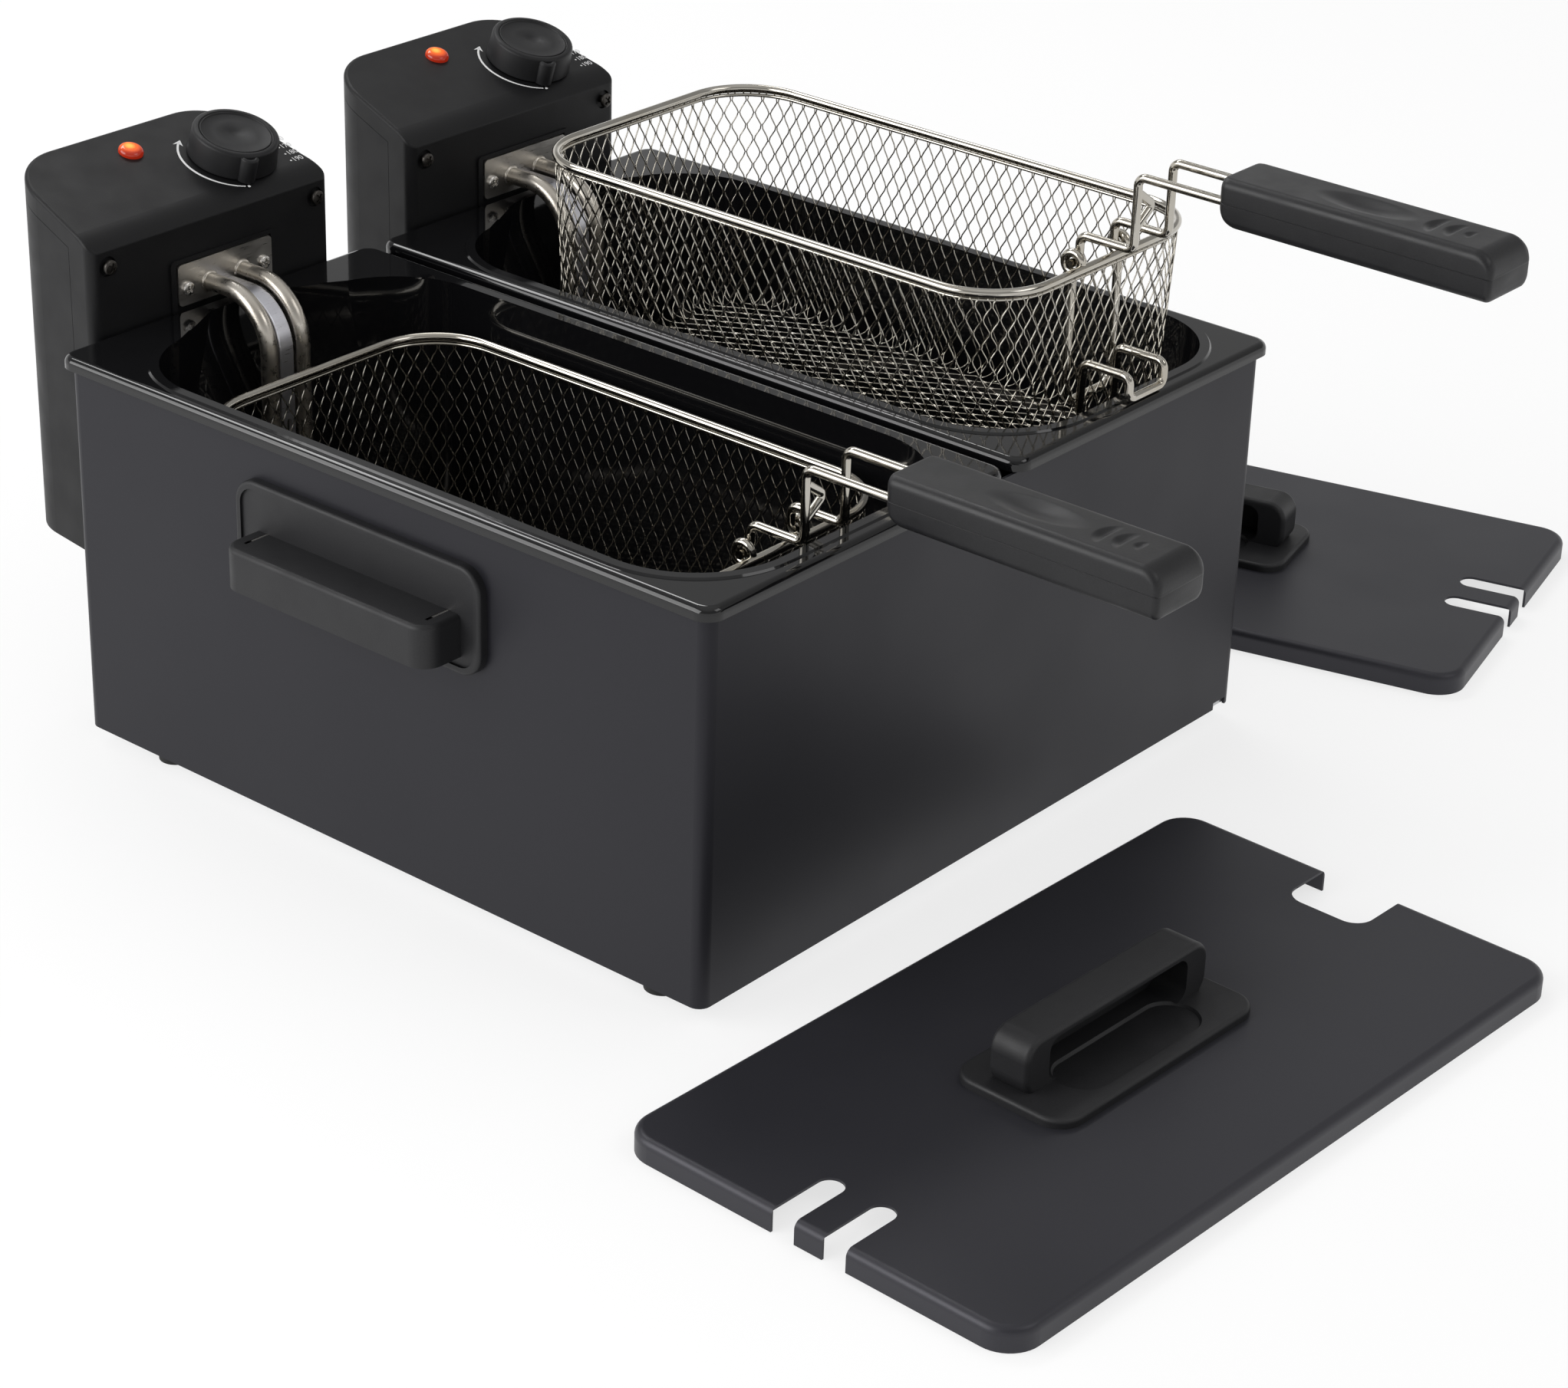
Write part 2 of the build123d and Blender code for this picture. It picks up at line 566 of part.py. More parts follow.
def make_element_plate():
    with BuildPart() as plate:
        with BuildSketch(Plane.XZ.offset(-UNIT_FRONT)) as outline:
            with Locations((TUBE_X, PLATE_Z)):
                RectangleRounded(PLATE_WIDTH, PLATE_HEIGHT, 2)
            with Locations((TUBE_X - TUBE_SPACING / 2, TUBE_Z), (TUBE_X + TUBE_SPACING / 2, TUBE_Z)):
                Circle(TUBE_RADIUS + SLIP, mode=Mode.SUBTRACT)
            with Locations(*plate_screw_spots()):
                Circle(1.5 + SLIP, mode=Mode.SUBTRACT)
            with Locations((TUBE_X, CAPILLARY_Z)):
                Circle(1, mode=Mode.SUBTRACT)
        extrude(amount=PLATE_THICKNESS)
    return plate.part


GUARD_TOP = TUBE_Z - 1
GUARD_FRONT = TUBE_Y - 1
BULB_Y = GUARD_FRONT + GUARD_THICKNESS + 0.2 + BULB_DIAMETER / 2
CAPILLARY_Z = GUARD_TOP - GUARD_THICKNESS - 1.1


def make_sensor_guard():
    """A sheet strip that follows the tubes down between them, in front of the thermostat's bulb."""
    with BuildPart() as guard:
        with BuildSketch(Plane.YZ.offset(TUBE_X)):
            with BuildLine():
                FilletPolyline((PLATE_FACE - 0.1, GUARD_TOP), (GUARD_FRONT, GUARD_TOP),
                               (GUARD_FRONT, LOOP_Z + 10), radius=TUBE_BEND - 1)
                offset(amount=GUARD_THICKNESS, side=Side.LEFT)
            make_face()
        extrude(amount=(TUBE_SPACING - TUBE_DIAMETER) / 2 - 0.6, both=True)
        sides = guard.faces().filter_by(Axis.X)
        fillet(sides.edges().filter_by(lambda edge: edge.length > PLATE_HEIGHT), radius=0.7)
        with BuildSketch(Plane.XZ.offset(-TUBE_Y)):
            with Locations(*[(TUBE_X, LOOP_Z + 24 + 14 * step) for step in range(4)]):
                SlotOverall(7, 2.4, rotation=90)
        extrude(amount=20, both=True, mode=Mode.SUBTRACT)
    return guard.part


def make_thermostat_bulb():
    """The bulb behind the guard, with its capillary tube up to the element plate."""
    with BuildPart() as bulb:
        with BuildSketch(Plane(origin=(TUBE_X, BULB_Y, LOOP_Z + 14))):
            Circle(BULB_DIAMETER / 2)
        extrude(amount=64)
        fillet(bulb.edges().filter_by(GeomType.CIRCLE), radius=1)
        add(bent_wire([(TUBE_X, BULB_Y, LOOP_Z + 74), (TUBE_X, BULB_Y, CAPILLARY_Z),
                       (TUBE_X, UNIT_FRONT + 4, CAPILLARY_Z)], TUBE_BEND - 5, 0.8))
    return bulb.part


def make_thermostat():
    """The control behind the panel: its body and the bush that the knob's stem turns in."""
    with BuildPart() as control:
        with BuildSketch(panel_plane(KNOB_X, KNOB_ALONG, -WALL)):
            RectangleRounded(34, 34, 4)
        extrude(amount=-20)
        with BuildSketch(panel_plane(KNOB_X, KNOB_ALONG, -WALL)):
            Circle(5)
        extrude(amount=WALL - 0.3)
        with BuildSketch(panel_plane(KNOB_X, KNOB_ALONG)):
            Circle(3 + RUN)
        extrude(amount=-12, mode=Mode.SUBTRACT)
    return control.part


def make_knob():
    """A dished knob with fine rings, a half-round lug that points to off, and a stem."""
    radius = KNOB_DIAMETER / 2
    top = 0.5 + KNOB_HEIGHT
    dish = radius - 4.4
    lug_place = Rotation(0, 0, -90 - KNOB_OFF_ANGLE) * Pos(radius - 2.2, 0)
    with BuildPart() as knob:
        with BuildSketch(Plane.XY.offset(0.5)):
            with Locations(lug_place):
                SlotOverall(9, 7.4)
        extrude(amount=KNOB_HEIGHT - 0.8)
        with BuildSketch(Plane.XY.offset(top - 0.8)):
            with Locations(lug_place):
                SlotOverall(7.2, 5.6)
        extrude(amount=-0.5, mode=Mode.SUBTRACT)
        with BuildSketch(Plane.XZ) as section:
            with BuildLine():
                Polyline((0, 0.5), (radius, 0.5), (radius - 0.9, top), (dish + 1.8, top),
                         (dish + 1.4, top - 0.5), (dish + 0.7, top - 0.5), (dish + 0.5, top - 0.1),
                         (dish + 0.3, top - 0.1), (dish, top - 0.6), (3.6, top - 0.6), (2.4, top - 0.9),
                         (0, top - 0.9), close=True)
            make_face()
            fillet(section.vertices().sort_by_distance((radius - 0.9, 0, top))[0], radius=0.9)
        revolve(axis=Axis.Z)
        with BuildSketch(Plane.XY.offset(0.5)):
            Circle(3)
        extrude(amount=-11)
    return panel_plane(KNOB_X, KNOB_ALONG).location * knob.part


def make_lens():
    """A domed lamp lens with a stem through the panel."""
    with BuildPart() as lens:
        with BuildSketch():
            Circle(LENS_DIAMETER / 2)
        extrude(amount=2.4)
        fillet(lens.faces().sort_by(Axis.Z)[-1].edges(), radius=1.8)
        with BuildSketch():
            Circle(LENS_DIAMETER / 2 - 1 - SLIP)
        extrude(amount=-8)
    return panel_plane(LENS_X, LENS_ALONG).location * lens.part


def make_terminal_block():
    """The block inside the unit where the tubes' ends are wired."""
    with BuildPart() as block:
        with BuildSketch(Plane.XY.offset(UNIT_BOTTOM + WALL)):
            with Locations((-UNIT_WIDTH / 8, UNIT_BACK - WALL - 30)):
                Rectangle(44, 18)
        extrude(amount=16)
        with BuildSketch(Plane.XY.offset(UNIT_BOTTOM + WALL + 16)):
            with Locations((-UNIT_WIDTH / 8, UNIT_BACK - WALL - 30)):
                with GridLocations(14, 0, 3, 1):
                    Circle(3)
        extrude(amount=-3, mode=Mode.SUBTRACT)
    return block.part


def make_gland():
    """The flexible bush in the rear cover that the mains cord passes through."""
    with BuildPart() as gland:
        with BuildSketch(Plane.XZ) as section:
            with BuildLine():
                Polyline((3.5, -WALL - 2.5), (8.5, -WALL - 2.5), (8.5, -WALL - 0.1), (7, -WALL - 0.1), (7, 0.1),
                         (8.5, 0.1), (8.5, 3), (6, 3.6), (5, 16), (3.5, 16), close=True)
            make_face()
        revolve(axis=Axis.Z)
    return Plane(origin=(GLAND_X, UNIT_BACK, GLAND_Z), z_dir=(0, 1, 0)).location * gland.part


def make_reset_button():
    """The push button of the overheat cut-out, sunk in its collar."""
    with BuildPart() as button:
        with BuildSketch():
            Circle(5)
        extrude(amount=-WALL - 6)
        fillet(button.faces().sort_by(Axis.Z)[-1].edges(), radius=1)
        with BuildSketch(Plane.XY.offset(-WALL - 6)):
            Circle(6.5)
        extrude(amount=1.5)
    return Plane(origin=(BUTTON_X, UNIT_BACK - 0.6, BUTTON_Z), z_dir=(0, 1, 0)).location * button.part


def make_hanger_tongue():
    """The tongue on the unit's front that slides down into the casing's channel."""
    with BuildPart() as tongue:
        with BuildSketch(Plane.XY.offset(95 + SHEET)):
            with Locations((0, CASING_BACK + 1)):
                Rectangle(40.4, 1, align=(Align.CENTER, Align.MIN))
                Rectangle(30, UNIT_STANDOFF - 1, align=(Align.CENTER, Align.MIN))
        extrude(amount=44)
    return tongue.part


# ---- basket and handle, from the middle of the rim's front at the rim wire's height ----

def wall_y(drop):
    """How far the front wall's outside has come in at a depth below the rim."""
    return 1 + drop * tan(radians(BASKET_DRAFT))


def basket_form(inset):
    top = RIM_WIRE + 0.1
    with BuildPart() as form:
        with BuildSketch(Plane.XY.offset(-top)):
            with Locations((0, BASKET_DEPTH / 2)):
                side = wall_y(top) + inset
                RectangleRounded(BASKET_WIDTH - 2 * side, BASKET_DEPTH - 2 * side, BASKET_CORNER - side)
        extrude(amount=top + inset - BASKET_HEIGHT, taper=BASKET_DRAFT)
        fillet(form.faces().sort_by(Axis.Z)[0].edges(), radius=5 - inset)
    return form.part


def diamonds(columns, rows, step_x, step_y, strand):
    """Two interleaved grids of diamond openings, for the current sketch."""
    half_x, half_y = step_x / 2 - strand, step_y / 2 - strand
    for across, up in ((columns, rows), (columns - 1, rows - 1)):
        if across > 0 and up > 0:
            with GridLocations(step_x, step_y, across, up):
                Polygon((-half_x, 0), (0, -half_y), (half_x, 0), (0, half_y))


def make_basket_mesh():
    """The mesh basket as four walls, four halved corners and a floor that meet edge to edge."""
    middle = Vector(0, BASKET_DEPTH / 2, 0)
    rows, step_y = 3, (BASKET_HEIGHT - 12) / 3
    wall_middle = -BASKET_HEIGHT / 2
    flat_x, flat_y = BASKET_WIDTH / 2 - BASKET_CORNER, BASKET_DEPTH / 2 - BASKET_CORNER
    long_columns = round(2 * flat_y / 28)
    with BuildPart() as mesh:
        add(basket_form(0))
        add(basket_form(MESH_THICKNESS), mode=Mode.SUBTRACT)
        with BuildSketch(Plane.XZ.offset(-BASKET_DEPTH)):
            with Locations((0, wall_middle)):
                diamonds(3, rows, 2 * flat_x / 3, step_y, 2)
        extrude(amount=BASKET_DEPTH, mode=Mode.SUBTRACT)
        with BuildSketch(Plane.YZ.offset(-BASKET_WIDTH / 2)):
            with Locations((middle.Y, wall_middle)):
                diamonds(long_columns, rows, 2 * flat_y / long_columns, step_y, 2)
        extrude(amount=BASKET_WIDTH, mode=Mode.SUBTRACT)
        with BuildSketch(Plane.XY.offset(-BASKET_HEIGHT)):
            with Locations((0, middle.Y)):
                diamonds(4, 8, (BASKET_WIDTH - 26) / 4, (BASKET_DEPTH - 26) / 8, 2)
        extrude(amount=5, mode=Mode.SUBTRACT)
        corners = [(x * flat_x, middle.Y + y * flat_y, wall_middle) for x in (-1, 1) for y in (-1, 1)]
        for corner in corners:
            outward = (corner[0], corner[1] - middle.Y, 0)
            diagonal = (outward[0] / abs(outward[0]), outward[1] / abs(outward[1]), 0)
            with BuildSketch(Plane(origin=corner, z_dir=diagonal, x_dir=(diagonal[1], -diagonal[0], 0))):
                diamonds(2, rows, BASKET_CORNER * 0.62, step_y, 2)
            extrude(amount=BASKET_CORNER, mode=Mode.SUBTRACT)
    floor_zone = Pos(0, middle.Y, 6 - BASKET_HEIGHT) * Box(
        BASKET_WIDTH, BASKET_DEPTH, BASKET_HEIGHT, align=(Align.CENTER, Align.CENTER, Align.MAX))
    upper = mesh.part - floor_zone
    across = Pos(0, middle.Y, 0) * Box(2 * flat_x, 2 * BASKET_DEPTH, 4 * BASKET_HEIGHT)
    along = Pos(0, middle.Y, 0) * Box(2 * BASKET_WIDTH, 2 * flat_y, 4 * BASKET_HEIGHT)
    pieces = [mesh.part & floor_zone, upper & across, upper & along]
    # each rounded corner in two halves, either side of its diagonal
    for x, y in ((-1, -1), (-1, 1), (1, -1), (1, 1)):
        centre = Pos(x * flat_x, middle.Y + y * flat_y, 0)
        corner = upper & (centre * Pos(x * BASKET_CORNER, y * BASKET_CORNER, 0) * Box(
            2 * BASKET_CORNER, 2 * BASKET_CORNER, 4 * BASKET_HEIGHT))
        beside = centre * Rotation(0, 0, -45 * x * y) * Pos(x * BASKET_DEPTH, 0, 0) * Box(
            2 * BASKET_DEPTH, 2 * BASKET_DEPTH, 4 * BASKET_HEIGHT)
        pieces += [corner & beside, corner - beside]
    solids = [solid for piece in pieces for solid in piece.solids()]
    return Compound(children=solids)


EYE_Y, EYE_Z, EYE_RADIUS = 6.5, 1.5, 3.8
EYE_X = HANDLE_SPREAD / 2 + 3.6


def rim_corners():
    half_x = BASKET_WIDTH / 2 - RIM_WIRE
    front, back = RIM_WIRE, BASKET_DEPTH - RIM_WIRE
    return [(half_x, front), (half_x, back), (-half_x, back), (-half_x, front)]


def make_basket_frame():
    """The rim wire, the two ring eyes inside its front, and the brace wire that hangs from them."""
    brace_drop = 55
    brace_y = wall_y(brace_drop) + MESH_THICKNESS + WIRE + 0.1
    with BuildPart() as frame:
        with BuildLine() as loop:
            FilletPolyline(*rim_corners(), radius=BASKET_CORNER - RIM_WIRE, close=True)
        with BuildSketch(Plane(origin=loop.line @ 0, z_dir=loop.line % 0)):
            Circle(RIM_WIRE)
        sweep()
        with Locations((-EYE_X, EYE_Y, EYE_Z), (EYE_X, EYE_Y, EYE_Z)):
            Torus(EYE_RADIUS, WIRE, rotation=(0, 90, 0))
        add(bent_wire([(-EYE_X, EYE_Y, EYE_Z - EYE_RADIUS), (-EYE_X, brace_y, -brace_drop),
                       (EYE_X, brace_y, -brace_drop), (EYE_X, EYE_Y, EYE_Z - EYE_RADIUS)], 6))
    return frame.part


def make_drain_hook():
    """The wire hook on the front wall that rests on the pot's rim while the basket drains."""
    half = HANDLE_SPREAD / 2
    foot_drop = HOOK_ARM_DROP + 20
    arm_y = wall_y(HOOK_ARM_DROP) - WIRE - 0.1
    foot_y = wall_y(foot_drop) - WIRE - 0.1
    side = [(half, foot_y, -foot_drop), (half, arm_y, -HOOK_ARM_DROP),
            (half, -HOOK_REACH, -HOOK_ARM_DROP), (half, -HOOK_REACH, -HOOK_BAR_DROP)]
    return bent_wire(side + [(-x, y, z) for x, y, z in reversed(side)], 3.2)


def handle_route():
    half = HANDLE_SPREAD / 2
    tip = -GRIP_START - GRIP_LENGTH + 14
    side = [(EYE_X + WIRE + 1, EYE_Y, EYE_Z), (half, EYE_Y, EYE_Z), (half, EYE_Y, 11.5),
            (half, -HANDLE_STANDOFF, 11.5), (half, -HANDLE_STANDOFF, HANDLE_RISE), (half, tip, HANDLE_RISE)]
    return side + [(-x, y, z) for x, y, z in reversed(side)]


def make_handle_wire():
    """One wire: in through both eyes, over the rim, up, and out to the grip."""
    half = HANDLE_SPREAD / 2
    with BuildPart() as handle:
        add(bent_wire(handle_route(), 3.4))
        add(bent_wire([(-half, -HANDLE_STANDOFF, 34), (-half + 10, -HANDLE_STANDOFF, 27),
                       (-half, -HANDLE_STANDOFF, 20)], 2))
    return handle.part


def grip_half(upper):
    """One moulded half of the grip, split at the height of the handle wires."""
    half = GRIP_HEIGHT / 2
    start, end = -GRIP_START, -GRIP_START - GRIP_LENGTH
    low, high = (HANDLE_RISE, HANDLE_RISE + half) if upper else (HANDLE_RISE - half, HANDLE_RISE)
    with BuildPart() as grip:
        with BuildSketch(Plane.YZ.offset(-GRIP_WIDTH / 2)) as side:
            with Locations(((start + end) / 2, (low + high) / 2)):
                Rectangle(GRIP_LENGTH, half)
            if upper:
                fillet(side.vertices().sort_by_distance((0, end, high))[0], radius=8)
                fillet(side.vertices().sort_by_distance((0, start, high))[0], radius=2)
            else:
                fillet(side.vertices().sort_by_distance((0, start, low))[0], radius=8.5)
                fillet(side.vertices().sort_by_distance((0, end, low))[0], radius=3)
        extrude(amount=GRIP_WIDTH)
        flat = grip.faces().filter_by(Axis.Z).sort_by(Axis.Z)[-1 if upper else 0]
        fillet(flat.edges().filter_by(Axis.Y), radius=4)
        with BuildSketch(Plane.XY.offset(low)):
            with Locations((0, (start + end) / 2)):
                RectangleRounded(GRIP_WIDTH, GRIP_LENGTH, 5)
        extrude(amount=half, mode=Mode.INTERSECT)
        if upper:
            with BuildSketch(Plane.XY.offset(high)):
                with Locations((0, start - 52)):
                    SlotOverall(42, 14, rotation=90)
            extrude(amount=-2, taper=25, mode=Mode.SUBTRACT)
            with BuildSketch(Plane.XY.offset(high)):
                for along, width in ((81, 15), (88, 15), (96, 6)):
                    with Locations((0, start - along)):
                        SlotOverall(width, 2.4)
            extrude(amount=-1.4, mode=Mode.SUBTRACT)
        add(bent_wire(handle_route(), 3.4, WIRE + SLIP), mode=Mode.SUBTRACT)
    return grip.part


# ---- lid, from the middle of its length and width at the flange's lower edge ----

LID_SCREW_X = LID_HANDLE_LENGTH / 2 - 8


def make_lid_panel():
    """A sheet with a turned-down flange, two slots at the front end and a notch at the back end."""
    slot_spots = [(LID_LENGTH / 2, side * HANDLE_SPREAD / 2) for side in (-1, 1)]
    with BuildPart() as lid:
        with BuildSketch():
            RectangleRounded(LID_LENGTH, LID_WIDTH, LID_CORNER)
        extrude(amount=LID_FLANGE)
        fillet(lid.faces().sort_by(Axis.Z)[-1].edges(), radius=3)
        with BuildSketch() as hollow:
            RectangleRounded(LID_LENGTH - 2 * LID_SHEET, LID_WIDTH - 2 * LID_SHEET, LID_CORNER - LID_SHEET)
        extrude(amount=LID_FLANGE - LID_SHEET, mode=Mode.SUBTRACT)
        with BuildSketch() as cuts:
            with Locations(*slot_spots):
                SlotOverall(56, 10)
            with Locations((-LID_LENGTH / 2, 0)):
                RectangleRounded(54, 34, 8)
            with Locations((-LID_SCREW_X, 0), (LID_SCREW_X, 0)):
                Circle(2 + SLIP)
        extrude(amount=LID_FLANGE, mode=Mode.SUBTRACT)
    return lid.part


def make_lid_handle():
    """A base plate with a shallow dish, and a strap bar closed by a web on one side."""
    bar_y = -4
    with BuildPart() as handle:
        with BuildSketch(Plane.XY.offset(LID_FLANGE)):
            RectangleRounded(LID_PLATE_LENGTH, LID_PLATE_WIDTH, 10)
        extrude(amount=LID_PLATE_THICKNESS)
        fillet(handle.faces().sort_by(Axis.Z)[-1].edges(), radius=1.5)
        with BuildSketch(Plane.XZ.offset(-bar_y - LID_HANDLE_WIDTH / 2)) as bar:
            with Locations((0, LID_FLANGE + 1)):
                Rectangle(LID_HANDLE_LENGTH, LID_PLATE_THICKNESS + LID_HANDLE_RISE - 1, align=(Align.CENTER, Align.MIN))
            fillet(bar.vertices().group_by(Axis.Z)[-1], radius=8)
        extrude(amount=LID_HANDLE_WIDTH)
        fillet(handle.faces().sort_by(Axis.Z)[-1].edges().filter_by(Axis.X), radius=2)
        with BuildSketch(Plane.XZ.offset(-bar_y - LID_HANDLE_WIDTH / 2)) as pocket:
            with Locations((0, LID_FLANGE + LID_PLATE_THICKNESS)):
                Rectangle(LID_HANDLE_LENGTH - 24, LID_HANDLE_RISE - LID_STRAP, align=(Align.CENTER, Align.MIN))
            fillet(pocket.vertices().group_by(Axis.Z)[-1], radius=5)
        extrude(amount=LID_HANDLE_WIDTH - LID_STRAP, mode=Mode.SUBTRACT)
        with BuildSketch(Plane.XY.offset(LID_FLANGE + LID_PLATE_THICKNESS)):
            with Locations((0, bar_y + LID_HANDLE_WIDTH / 2 + 4)):
                SlotOverall(LID_HANDLE_LENGTH - 30, 22)
        extrude(amount=-1.2, taper=30, mode=Mode.SUBTRACT)
        with BuildSketch(Plane.XY.offset(LID_FLANGE)):
            with Locations((-LID_SCREW_X, 0), (LID_SCREW_X, 0)):
                Circle(2 + SLIP)
        extrude(amount=14, mode=Mode.SUBTRACT)
    return handle.part


# ---- place and write every piece ----

for name, piece in (("casing", casing.part), ("base_plate", base_plate.part), ("feet", feet.part),
                    ("foot_screws", foot_screws), ("hanger_channels", hanger_channels.part),
                    ("carry_handle_left", carry_handle_left), ("carry_handle_right", carry_handle_right),
                    ("carry_handle_screws", carry_handle_screws)):
    save(piece, name)

unit_pieces = {
    "pot": make_pot(),
    "panel_cover": make_panel_cover(),
    "rear_cover": make_rear_cover(),
    "element_plate": make_element_plate(),
    "heating_element": bent_wire(tube_route(), TUBE_BEND, TUBE_RADIUS),
    "sensor_guard": make_sensor_guard(),
    "thermostat_bulb": make_thermostat_bulb(),
    "thermostat": make_thermostat(),
    "knob": make_knob(),
    "lens": make_lens(),
    "terminal_block": make_terminal_block(),
    "cord_gland": make_gland(),
    "reset_button": make_reset_button(),
    "hanger_tongue": make_hanger_tongue(),
    "cover_screws": pan_screws(Plane.XZ.offset(1.2 - UNIT_FRONT), cover_screw_spots(), 6, 1.6, 3, 20),
    "plate_screws": pan_screws(Plane.XZ.offset(-PLATE_FACE), plate_screw_spots(), 5.6, 1.8, 3, 10),
}

basket_pieces = {
    "basket_mesh": make_basket_mesh(),
    "basket_frame": make_basket_frame(),
    "drain_hook": make_drain_hook(),
    "handle_wire": make_handle_wire(),
    "grip_upper": grip_half(True),
    "grip_lower": grip_half(False),
}

lid_pieces = {
    "lid_panel": make_lid_panel(),
    "lid_handle": make_lid_handle(),
    "lid_screws": pan_screws(Plane(origin=(0, 0, LID_FLANGE - LID_SHEET), z_dir=(0, 0, -1)),
                             [(-LID_SCREW_X, 0), (LID_SCREW_X, 0)], 8, 2.2, 4, 12),
}

# the left basket is lowered and the right one hangs on the rim; the lids lie on the worktop
basket_places = {
    "left": Pos(-UNIT_X, LOWERED_FRONT, LOWERED_RIM),
    "right": Pos(UNIT_X, DRAINING_FRONT, DRAINING_RIM),
}


def lid_reach(turn):
    """Half of a lid's extent along X when it lies turned by so many degrees."""
    along, across = abs(cos(radians(turn))), abs(sin(radians(turn)))
    return LID_LENGTH / 2 * along + LID_WIDTH / 2 * across - LID_CORNER * (along + across - 1)


lid_turns = {"left": 178, "right": -76}
left_y = -CASING_DEPTH / 2 - LID_FRONT_GAP - lid_reach(lid_turns["left"] + 90)
right_x = CASING_WIDTH / 2 + LID_SIDE_GAP + lid_reach(lid_turns["right"])
lid_places = {
    "left": Pos(-87, left_y, -FOOT_HEIGHT) * Rotation(0, 0, lid_turns["left"]),
    "right": Pos(right_x, -50, -FOOT_HEIGHT) * Rotation(0, 0, lid_turns["right"]),
}

for side, sign in (("left", -1), ("right", 1)):
    for name, piece in unit_pieces.items():
        save(Pos(sign * UNIT_X, 0, 0) * piece, f"{name}_{side}")
    for name, piece in basket_pieces.items():
        save(basket_places[side] * piece, f"{name}_{side}")
    for name, piece in lid_pieces.items():
        turn = Rotation(0, 0, 180 if name != "lid_panel" and side == "right" else 0)
        save(lid_places[side] * turn * piece, f"{name}_{side}")
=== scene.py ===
# %% [markdown]
# A double deep fryer: two black enamelled pots in one satin black casing, with a control unit, a
# bent heating tube, a wire basket and a lid for each. The solids come ready from the CAD frame. This
# file gives each of them its finish, and makes the pieces whose surfaces are too fine for a solid: the
# woven baskets, the moulded grips, the screws' heads, the printing, the heating tubes and the knobs.

import json
from math import cos, pi, radians, sin, tan

import bmesh
import bpy
import numpy as np
from mathutils import Matrix, Vector


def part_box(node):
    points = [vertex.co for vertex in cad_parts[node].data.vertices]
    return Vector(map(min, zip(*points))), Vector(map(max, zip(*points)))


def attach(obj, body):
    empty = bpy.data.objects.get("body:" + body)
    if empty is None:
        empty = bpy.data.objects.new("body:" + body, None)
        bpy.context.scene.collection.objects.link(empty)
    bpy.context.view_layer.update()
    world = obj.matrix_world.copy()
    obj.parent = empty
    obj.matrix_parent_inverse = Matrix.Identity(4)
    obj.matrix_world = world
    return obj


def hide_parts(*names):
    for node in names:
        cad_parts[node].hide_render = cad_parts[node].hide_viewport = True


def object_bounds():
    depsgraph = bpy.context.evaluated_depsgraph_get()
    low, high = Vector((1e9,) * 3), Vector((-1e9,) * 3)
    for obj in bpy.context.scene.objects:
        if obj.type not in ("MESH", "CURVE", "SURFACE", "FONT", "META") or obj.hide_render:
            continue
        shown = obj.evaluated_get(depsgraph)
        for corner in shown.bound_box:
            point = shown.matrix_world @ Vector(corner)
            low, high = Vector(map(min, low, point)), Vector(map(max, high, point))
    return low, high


MM = 0.001
SIDES = ("left", "right")

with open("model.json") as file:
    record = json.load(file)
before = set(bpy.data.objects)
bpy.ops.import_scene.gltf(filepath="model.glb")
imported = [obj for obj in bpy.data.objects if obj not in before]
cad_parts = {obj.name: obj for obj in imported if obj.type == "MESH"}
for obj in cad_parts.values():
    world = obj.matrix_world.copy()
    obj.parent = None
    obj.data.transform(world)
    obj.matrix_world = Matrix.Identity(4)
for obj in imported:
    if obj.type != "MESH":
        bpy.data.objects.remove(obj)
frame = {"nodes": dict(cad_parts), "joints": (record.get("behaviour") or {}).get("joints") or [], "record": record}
cad_bounds = [list(map(float, corner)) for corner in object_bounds()]
joints = {joint["name"]: joint for joint in frame["joints"]}
slot_of = {part["node"]: part["material_slot"] for part in frame["record"]["subparts"]}
print("nodes", len(frame["nodes"]), "box", cad_bounds)

# %% [markdown]
# The camera looks down at the fryer from its front left corner with a long lens, so upright edges
# stay nearly parallel. Its three angles turn a right-handed set of axes: ahead, to the right and up.
# A camera looks along its own -Z, so the matrix columns are right, up and the opposite of ahead.

# %% Camera
CAMERA_PLACE = (-1.0538, -0.9191, 0.7226)
CAMERA_AZIMUTH = radians(50.79)
CAMERA_ELEVATION = radians(27.04)
CAMERA_ROLL = radians(1.79)
LENS = 90.14
SENSOR_WIDTH = 36


def aim_camera(place, azimuth, elevation, roll, lens):
    """Azimuth is measured from +Y towards +X, elevation is how far the view looks down."""
    ahead = Vector((cos(elevation) * sin(azimuth), cos(elevation) * cos(azimuth), -sin(elevation)))
    level = Vector((cos(azimuth), -sin(azimuth), 0))
    upright = level.cross(ahead)
    right = level * cos(roll) + upright * sin(roll)
    up = upright * cos(roll) - level * sin(roll)
    data = bpy.data.cameras.new("camera")
    data.lens = lens
    data.sensor_width = SENSOR_WIDTH
    data.clip_end = 50
    camera = bpy.data.objects.new("camera", data)
    bpy.context.scene.collection.objects.link(camera)
    axes = Matrix((right, up, -ahead)).transposed()
    camera.matrix_world = Matrix.Translation(place) @ axes.to_4x4()
    bpy.context.scene.camera = camera
    return camera


camera = aim_camera(CAMERA_PLACE, CAMERA_AZIMUTH, CAMERA_ELEVATION, CAMERA_ROLL, LENS)
print("camera", tuple(round(value, 3) for value in camera.location))

